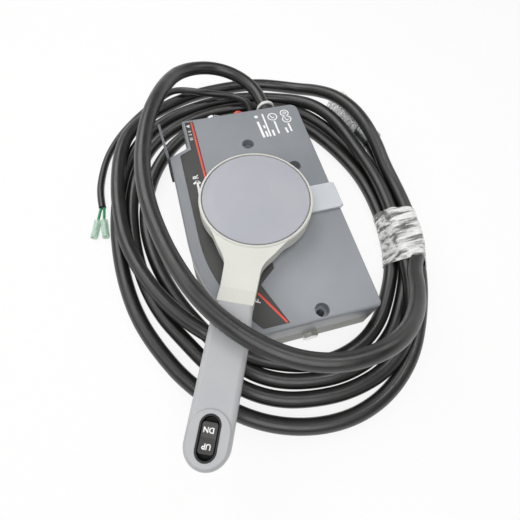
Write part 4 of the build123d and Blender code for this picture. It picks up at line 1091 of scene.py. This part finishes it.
# ---------------------------------------------------------------- harness
LEAD: Tuple[Point, ...] = (
    (46, 113, 33.5), (46, 142, 33.5), (40, 165, 36), (24, 183, 40), (4, 191.5, 44), (-17, 188, 50),
    (-36, 174, 58), (-49, 152, 67), (-60, 126, 75.5), (-72, 97, 80), (-81, 66, 81), (-86, 34, 81.5),
    (-86, 2, 81), (-81.5, -28, 81), (-75, -54, 81), (-65, -81, 81.5), (-50, -105, 81), (-31, -126, 81),
    (-8, -142, 81), (18, -150, 81), (46, -149, 80), (72, -140, 69), (94, -124, 54), (111, -104, 41),
    (122, -84, 29.5))
TURNS: Tuple[Tuple[Point, ...], ...] = (
    ((140, -64, 21.5), (146.5, -40, 20), (150, -12, 20), (151, 14, 20), (149, 37, 23.5), (148, 59, 29.5),
     (144.5, 85, 34.6), (139, 112, 34.6), (130, 139, 29), (117, 162, 19.5), (102, 179, 10.5), (83, 192, 7),
     (58, 201, 7), (30, 203, 7), (2, 202, 7), (-27, 198, 7), (-55, 187.5, 7), (-81, 171, 10.5),
     (-104, 144, 16), (-115, 108, 19.8), (-120, 72, 20), (-121, 40, 19.5), (-119, 10, 19.5),
     (-110, -22, 19.5), (-97, -50, 19.5), (-80, -76, 19.8), (-62, -95, 19.8), (-43, -111, 14),
     (-20, -125, 7.5), (8, -135, 7), (35, -137, 7), (62, -130, 7), (84, -115, 7), (101, -94, 7)),
    ((115.5, -71, 7), (124, -45, 7), (128.5, -17, 7), (130, 12, 7), (127.5, 40, 7), (120, 66, 7),
     (110, 90, 7), (98, 112, 7), (81, 133, 7), (58, 144, 7), (30, 151, 7), (-2, 152, 7), (-30, 145, 7),
     (-53, 131, 7), (-71, 112, 7), (-86.5, 87, 7), (-97, 58, 7), (-101, 26, 7), (-98, -6, 7), (-91, -34, 7),
     (-81, -60, 7), (-68, -84, 7), (-56, -105, 7), (-40, -127, 7), (-18, -141, 7), (8, -148, 7),
     (36, -150, 7), (66, -143.5, 7), (91, -128, 7), (110, -105, 7)),
    ((128.5, -76, 7), (136.5, -46, 7), (141.5, -17, 7), (143.5, 12, 7), (140.5, 42, 7), (133.5, 70, 7),
     (123.5, 97, 7), (111.5, 121, 7), (94, 144, 7), (66, 158, 7), (34, 166, 7), (0, 167, 7), (-30, 161, 7),
     (-58, 149, 7), (-83, 129, 7), (-100, 99, 7), (-111, 62, 7), (-114, 27, 7), (-113, -8, 7),
     (-107.5, -39, 7), (-98, -66, 7), (-84, -90, 7), (-69, -115, 7), (-48, -139, 7), (-22, -155, 7),
     (8, -162, 7), (38, -163.5, 7), (71, -156.5, 8.5), (96, -139, 12), (113, -112, 16.5)),
    ((123.5, -81, 18.5), (129.5, -50, 18.5), (134.5, -20, 18.5), (137, 10, 18.5), (136, 38, 18.5),
     (131.5, 66, 19), (128, 92, 19), (121, 118, 19), (109, 141, 17), (93, 160, 11), (66, 174, 7),
     (34, 182, 7), (0, 182, 7), (-30, 176, 7), (-60, 165.5, 7), (-87, 145.5, 7), (-108.5, 115, 7),
     (-120.5, 80, 7), (-127, 44, 7), (-128.5, 8, 7), (-126, -28, 7), (-119, -62, 7), (-106, -93, 7),
     (-88, -124, 7), (-64, -149, 7), (-36, -169, 7), (-2, -181, 7), (34, -183, 7), (68, -173, 7),
     (98, -152, 7), (120, -122, 7), (138, -88, 7)),
    ((148.5, -54, 7), (154.5, -22, 7), (157.5, 8, 7), (157, 36, 7.5), (155, 62, 10), (152, 84, 12.8),
     (150.2, 98, 13.4)))
AUX: Tuple[Point, ...] = (
    (30, 117, 31), (30, 131, 30), (33, 145, 27.5), (29, 160, 24.5), (13, 172, 23), (-8, 179, 23),
    (-28, 190, 22), (-45, 202, 15.5), (-62, 203, 6), (-80, 191, 3.6), (-98, 174, 3.7), (-116, 153, 3.6),
    (-130, 128, 3.7), (-138, 101, 3.6), (-141, 80, 3.7), (-140, 64, 3.6))


@dataclass
class Cable:
    """Round cable on one smooth line."""
    name: str
    points: Sequence[Point]
    diameter: float
    length: float
    replaces: Tuple[str, ...]
    finish: Finish
    steps: int = 8

    def line(self, thick: bool) -> Object:
        """The cable's curve.

        Args:
            thick: Whether it has its thickness.

        Returns:
            The curve object.
        """
        curve = bpy.data.curves.new(self.name, "CURVE")
        curve.dimensions = "3D"
        spline = curve.splines.new("NURBS")
        spline.points.add(len(self.points) - 1)
        for place, (x, y, z) in zip(spline.points, self.points):
            place.co = (x * MM, y * MM, z * MM, 1.0)
        spline.order_u = 3
        spline.use_endpoint_u = True
        curve.resolution_u = self.steps
        if thick:
            curve.bevel_depth = self.diameter / 2
            curve.bevel_resolution = 5
            curve.use_fill_caps = True
        return new_piece(self.name, curve)

    def centre_line(self) -> List[Vector]:
        """Where the cable runs.

        Returns:
            Points along its line, in metres.
        """
        bare = self.line(False)
        bpy.context.view_layer.update()
        mesh = plain_mesh(bare, self.name + "_line")
        points = [vertex.co.copy() for vertex in mesh.vertices]
        bpy.data.objects.remove(bare)
        return points

    def build(self, far_end: str, lay: str, riders: Sequence[str]) -> Object:
        """Args:
            far_end: What its far end holds. Not used.
            lay: How it lies. Not used.
            riders: Pieces and nodes on it. Not used.

        Returns:
            The cable.
        """
        made = self.line(True)
        made.data.materials.append(self.finish.material)
        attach(made, Body.HOUSING.value)
        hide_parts(*self.replaces)
        first = self.points[0]
        tuple(value * MM for value in first)
        LOG.info("cable %s", self.name)
        return made


@dataclass
class FilmWrap:
    """Wrinkled clear film round a bundle of cable runs. Places are in metres, folds in millimetres."""
    name: str
    node: str
    finish: Finish
    start: Vector
    end: Vector
    reach: float
    radius: float
    rows: int = 84
    sides: int = 180
    crease: float = 0.55
    ragged: float = 2.4
    seed: float = 3.7
    gap: float = 0.35
    thick: float = 0.12
    floor_gap: Spot = (0.12, 0.08)

    def axes(self) -> Tuple[Vector, Vector]:
        """The film's own direction, and the level one across it."""
        axis = (self.end - self.start).normalized()
        return axis, UP.cross(axis).normalized()

    def runs_at(self, centre: Vector, line: Sequence[Vector]) -> List[Vector]:
        """Finds the cable's runs across the film.

        Args:
            centre: Point of the film's axis at that place.
            line: Points along the cable's line.

        Returns:
            Where the runs cross the plane.
        """
        axis, found = self.axes()[0], []
        for first, second in zip(line, line[1:]):
            a, b = (first - centre).dot(axis), (second - centre).dot(axis)
            if (a < 0 <= b or b < 0 <= a) and (first - centre).length < self.reach:
                found.append(first.lerp(second, a / (a - b)))
        return found

    def ring(self, runs: Sequence[Vector]) -> List[Vector]:
        """Stretches an outline round the runs.

        Args:
            runs: Where the runs cross the plane.

        Returns:
            Evenly spaced points of the outline.
        """
        axis, side = self.axes()
        up = axis.cross(side).normalized()
        hull = []
        for step in range(HULL_STEPS):
            angle = 2 * math.pi * step / HULL_STEPS
            out = side * math.cos(angle) + up * math.sin(angle)
            hull.append(max(runs, key=lambda run: run.dot(out)) + out * self.radius)
        total, lengths = 0.0, [0.0]
        for first, second in zip(hull, hull[1:] + hull[:1]):
            total += (second - first).length
            lengths.append(total)
        made, at = [], 0
        for step in range(self.sides):
            want = total * step / self.sides
            while lengths[at + 1] < want:
                at += 1
            share = (want - lengths[at]) / max(lengths[at + 1] - lengths[at], 1e-9)
            made.append(hull[at % HULL_STEPS].lerp(hull[(at + 1) % HULL_STEPS], share))
        return made

    def creased(self, place: Vector, out: Vector, share: float, layer: int) -> Vector:
        """Moves a point of the outline to where the creased film lies.

        Args:
            place: The point.
            out: Direction away from the bundle.
            share: How far along the film it is, from 0 to 1.
            layer: 1 for the outer layer and 0 for the inner one.

        Returns:
            The point's new place.
        """
        axis, side = self.axes()
        across, along = place.dot(side) / MM, place.dot(axis) / MM
        spot = Vector((across * 0.10 + place.z * 120 + along * 0.10, along * 0.42 - across * 0.12, self.seed))
        fold = abs(noise.noise(spot)) + 0.45 * abs(noise.noise(spot * 2.3 + Vector((5, 0, 0))))
        rise = self.crease * (1.0 - 1.6 * fold)
        near_end = max(0.0, 1.0 - min(share, 1.0 - share) * 9.0)
        tear = noise.noise(Vector((across * 0.13, place.z * 90, self.seed + 9)))
        lift = (self.gap + rise + self.thick * layer) * MM
        moved = place + out * lift + axis * (self.ragged * near_end * tear) * MM
        moved.z = max(moved.z, self.floor_gap[layer] * MM)
        return moved

    def faces(self, rows: int) -> List[Tuple[int, ...]]:
        """Joins the rings of both layers to a closed sleeve.

        Args:
            rows: How many rings each layer has.

        Returns:
            Vertex numbers of each face.
        """
        count, inner, made = self.sides, rows * self.sides, []
        for base in (0, inner):
            for row in range(base, base + (rows - 1) * count, count):
                for step in range(count):
                    after = (step + 1) % count
                    quad = (row + step, row + after, row + count + after, row + count + step)
                    made.append(quad[::-1] if base else quad)
        for row in (0, inner - count):
            for step in range(count):
                after = (step + 1) % count
                made.append((row + step, inner + row + step, inner + row + after, row + after))
        return made

    def build(self, line: Sequence[Vector]) -> Object:
        """Makes the film as a thin closed sleeve.

        Args:
            line: Points along the cable's line.

        Returns:
            The piece.
        """
        rings = []
        for row in range(self.rows):
            share = row / (self.rows - 1)
            runs = self.runs_at(self.start.lerp(self.end, share), line)
            if runs:
                rings.append((share, self.ring(runs)))
        vertices = []
        for layer in (1, 0):
            for share, ring in rings:
                middle = sum(ring, Vector()) / len(ring)
                for place in ring:
                    vertices.append(self.creased(place, (place - middle).normalized(), share, layer))
        mesh = mesh_from(self.name, vertices, self.faces(len(rings)))
        made = finished(self.name, mesh, self.finish, Body.HOUSING, "clear_film")
        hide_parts(self.node)
        return made


@dataclass
class Harness:
    """Main cable with its coil, film and plug, and the thin lead to the bullet connectors."""
    main_length: float = 4.66
    main_diameter: float = 0.013
    aux_length: float = 0.322
    aux_diameter: float = 0.007
    bundle_ends: Tuple[Point, Point] = ((0.1265, -0.072, 0.012), (0.1425, -0.019, 0.012))
    plug_foot: Point = (0.150, 0.099, 0.0134)
    plug_turn: float = 104.0
    plug_span: Spot = (-0.004, 0.0475)

    def build(self) -> None:
        """Makes the cables and the film."""
        route = list(LEAD)
        for turn in TURNS:
            route.extend(turn)
        main = Cable("main_cable", route, self.main_diameter, self.main_length,
                     ("harness_lead", "harness_coil"), Finish.HARNESS)
        start, end = (Vector(place) for place in self.bundle_ends)
        bundle = FilmWrap("bundle_film", "coil_wrap", Finish.FILM, start, end, reach=0.040, radius=0.0066)
        film = bundle.build(main.centre_line())
        plug = self.plug_film()
        main.build("connector", "coiled", ["harness_plug", "plug_film", "bundle_film", "harness_grommet",
                                           "harness_tie", "boot_ribs"])
        aux = Cable("aux_cable", AUX, self.aux_diameter, self.aux_length, ("aux_lead",), Finish.HARNESS, 10)
        aux.build("connector", "loose", ["aux_wires", "bullet_sleeves", "bullet_terminals", "aux_grommet"])
        LOG.info("films %s and %s", film.name, plug.name)

    def plug_film(self) -> Object:
        """Film round the plug, drawn in over the cable at its foot.

        Returns:
            The piece.
        """
        turn = math.radians(self.plug_turn)
        axis, foot = Vector((math.cos(turn), math.sin(turn), 0.0)), Vector(self.plug_foot)
        start, end = (foot + axis * along for along in self.plug_span)
        sleeve = FilmWrap("plug_film", "plug_wrap", Finish.PLUG_FILM, start, end, reach=0.030, radius=0.0126,
                          rows=60, sides=120, crease=0.40, ragged=1.5, seed=8.1)
        return sleeve.build([foot + axis * step * MM for step in range(-60, 60)])


# ---------------------------------------------------------------- studio
@dataclass
class Studio:
    """Camera, pale floor and soft light."""
    lens_px: float = 365.44
    frame_px: float = 520.0
    sensor: float = 36.0
    eye: Point = (-0.05532, -0.17489, 0.31513)
    yaw: float = 20.158
    pitch: float = 63.704
    roll: float = 5.507
    floor_reach: float = 3.0
    floor_z: float = -0.0004
    glow: float = 0.86
    sky: Tuple[Tuple[str, float], ...] = (
        ("From Min", 0.10), ("From Max", 0.46), ("To Min", 0.80), ("To Max", 0.22))
    aim: Point = (0.0, 0.0, 0.02)
    panels: Tuple[Tuple[str, Point, float, float], ...] = (
        ("key_panel", (-0.14, -0.43, 0.78), 0.70, 3.6), ("aft_panel", (-0.28, 0.58, 0.76), 0.70, 3.8),
        ("left_panel", (-0.66, 0.05, 0.62), 0.50, 1.1), ("right_panel", (0.66, 0.16, 0.66), 0.50, 1.2),
        ("sheen_panel", (0.24, 0.13, 0.83), 0.22, 0.8))

    def build(self) -> None:
        """Sets up everything that isn't part of the object."""
        self.camera()
        self.floor()
        self.world()
        for panel in self.panels:
            self.panel(*panel)
        bpy.context.scene.view_settings.view_transform = "Standard"

    def camera(self) -> None:
        """Camera at its measured place."""
        data = bpy.data.cameras.new("camera")
        data.sensor_width = self.sensor
        data.sensor_fit = "HORIZONTAL"
        data.lens = self.sensor * self.lens_px / self.frame_px
        data.clip_start, data.clip_end = 0.01, 20.0
        yaw, pitch, roll = (math.radians(value) for value in (self.yaw, self.pitch, self.roll))
        ahead = Vector((math.sin(yaw) * math.cos(pitch), math.cos(yaw) * math.cos(pitch), -math.sin(pitch)))
        right = ahead.cross(UP).normalized()
        up = right.cross(ahead)
        turned_right = math.cos(roll) * right + math.sin(roll) * up
        turned_up = -math.sin(roll) * right + math.cos(roll) * up
        made = new_piece("camera", data)
        turn = Matrix((turned_right, turned_up, -ahead)).transposed()
        made.matrix_world = Matrix.Translation(self.eye) @ turn.to_4x4()
        bpy.context.scene.camera = made

    def floor(self) -> None:
        """Wide pale floor that keeps the object's shadow."""
        reach, z = self.floor_reach, self.floor_z
        corners = [(-reach, -reach, z), (reach, -reach, z), (reach, reach, z), (-reach, reach, z)]
        made = new_piece("floor", mesh_from("floor", corners, [(0, 1, 2, 3)], False))
        shader = Shader("floor_white")
        shader.dress({"Base Color": (0.88, 0.88, 0.87, 1.0), "Roughness": 0.9})
        glow = shader.node("ShaderNodeEmission", {"Color": (1.0, 1.0, 1.0, 1.0), "Strength": 1.0})
        path = shader.node("ShaderNodeLightPath")
        seen = path.outputs["Is Camera Ray"]
        for name in ("Is Glossy Ray", "Is Transmission Ray"):
            seen = shader.combine("MAXIMUM", seen, path.outputs[name])
        share = shader.combine("MULTIPLY", seen, self.glow)
        both = {0: share, 1: shader.surface.outputs[0], 2: glow.outputs[0]}
        shader.feed(shader.output, "Surface", shader.node("ShaderNodeMixShader", both).outputs[0])
        made.data.materials.append(shader.material)

    def world(self) -> None:
        """Soft white sky, brightest low down."""
        made = bpy.data.worlds.new("studio")
        made.use_nodes = True
        make, link = made.node_tree.nodes.new, made.node_tree.links.new
        sky = made.node_tree.nodes["Background"]
        sky.inputs["Color"].default_value = (1.0, 1.0, 1.0, 1.0)
        height, level = make("ShaderNodeSeparateXYZ"), make("ShaderNodeMapRange")
        link(make("ShaderNodeTexCoord").outputs["Generated"], height.inputs[0])
        link(height.outputs["Z"], level.inputs["Value"])
        for key, value in self.sky:
            level.inputs[key].default_value = value
        link(level.outputs["Result"], sky.inputs["Strength"])
        bpy.context.scene.world = made

    def panel(self, name: str, at: Point, size: float, power: float) -> None:
        """Square light panel that faces the object.

        Args:
            name: Its name.
            at: Its centre in metres.
            size: Length of its sides in metres.
            power: Its power in watts.
        """
        data = bpy.data.lights.new(name, "AREA")
        data.shape = "SQUARE"
        data.size = size
        data.energy = power
        made = new_piece(name, data)
        away = (Vector(at) - Vector(self.aim)).normalized()
        made.matrix_world = Matrix.Translation(at) @ away.to_track_quat("Z", "Y").to_matrix().to_4x4()


def main() -> None:
    """Builds the dressed control around the frame."""
    logging.basicConfig(level=logging.INFO, format="%(name)s: %(message)s")
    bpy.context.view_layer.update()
    Studio().build()
    CarriedNodes(NODES_OF).dress()
    pieces = Housing().build() + Controls().build()
    Harness().build()
    LOG.info("%d rigid details", len(pieces))
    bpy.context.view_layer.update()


if __name__ == "__main__":
    main()
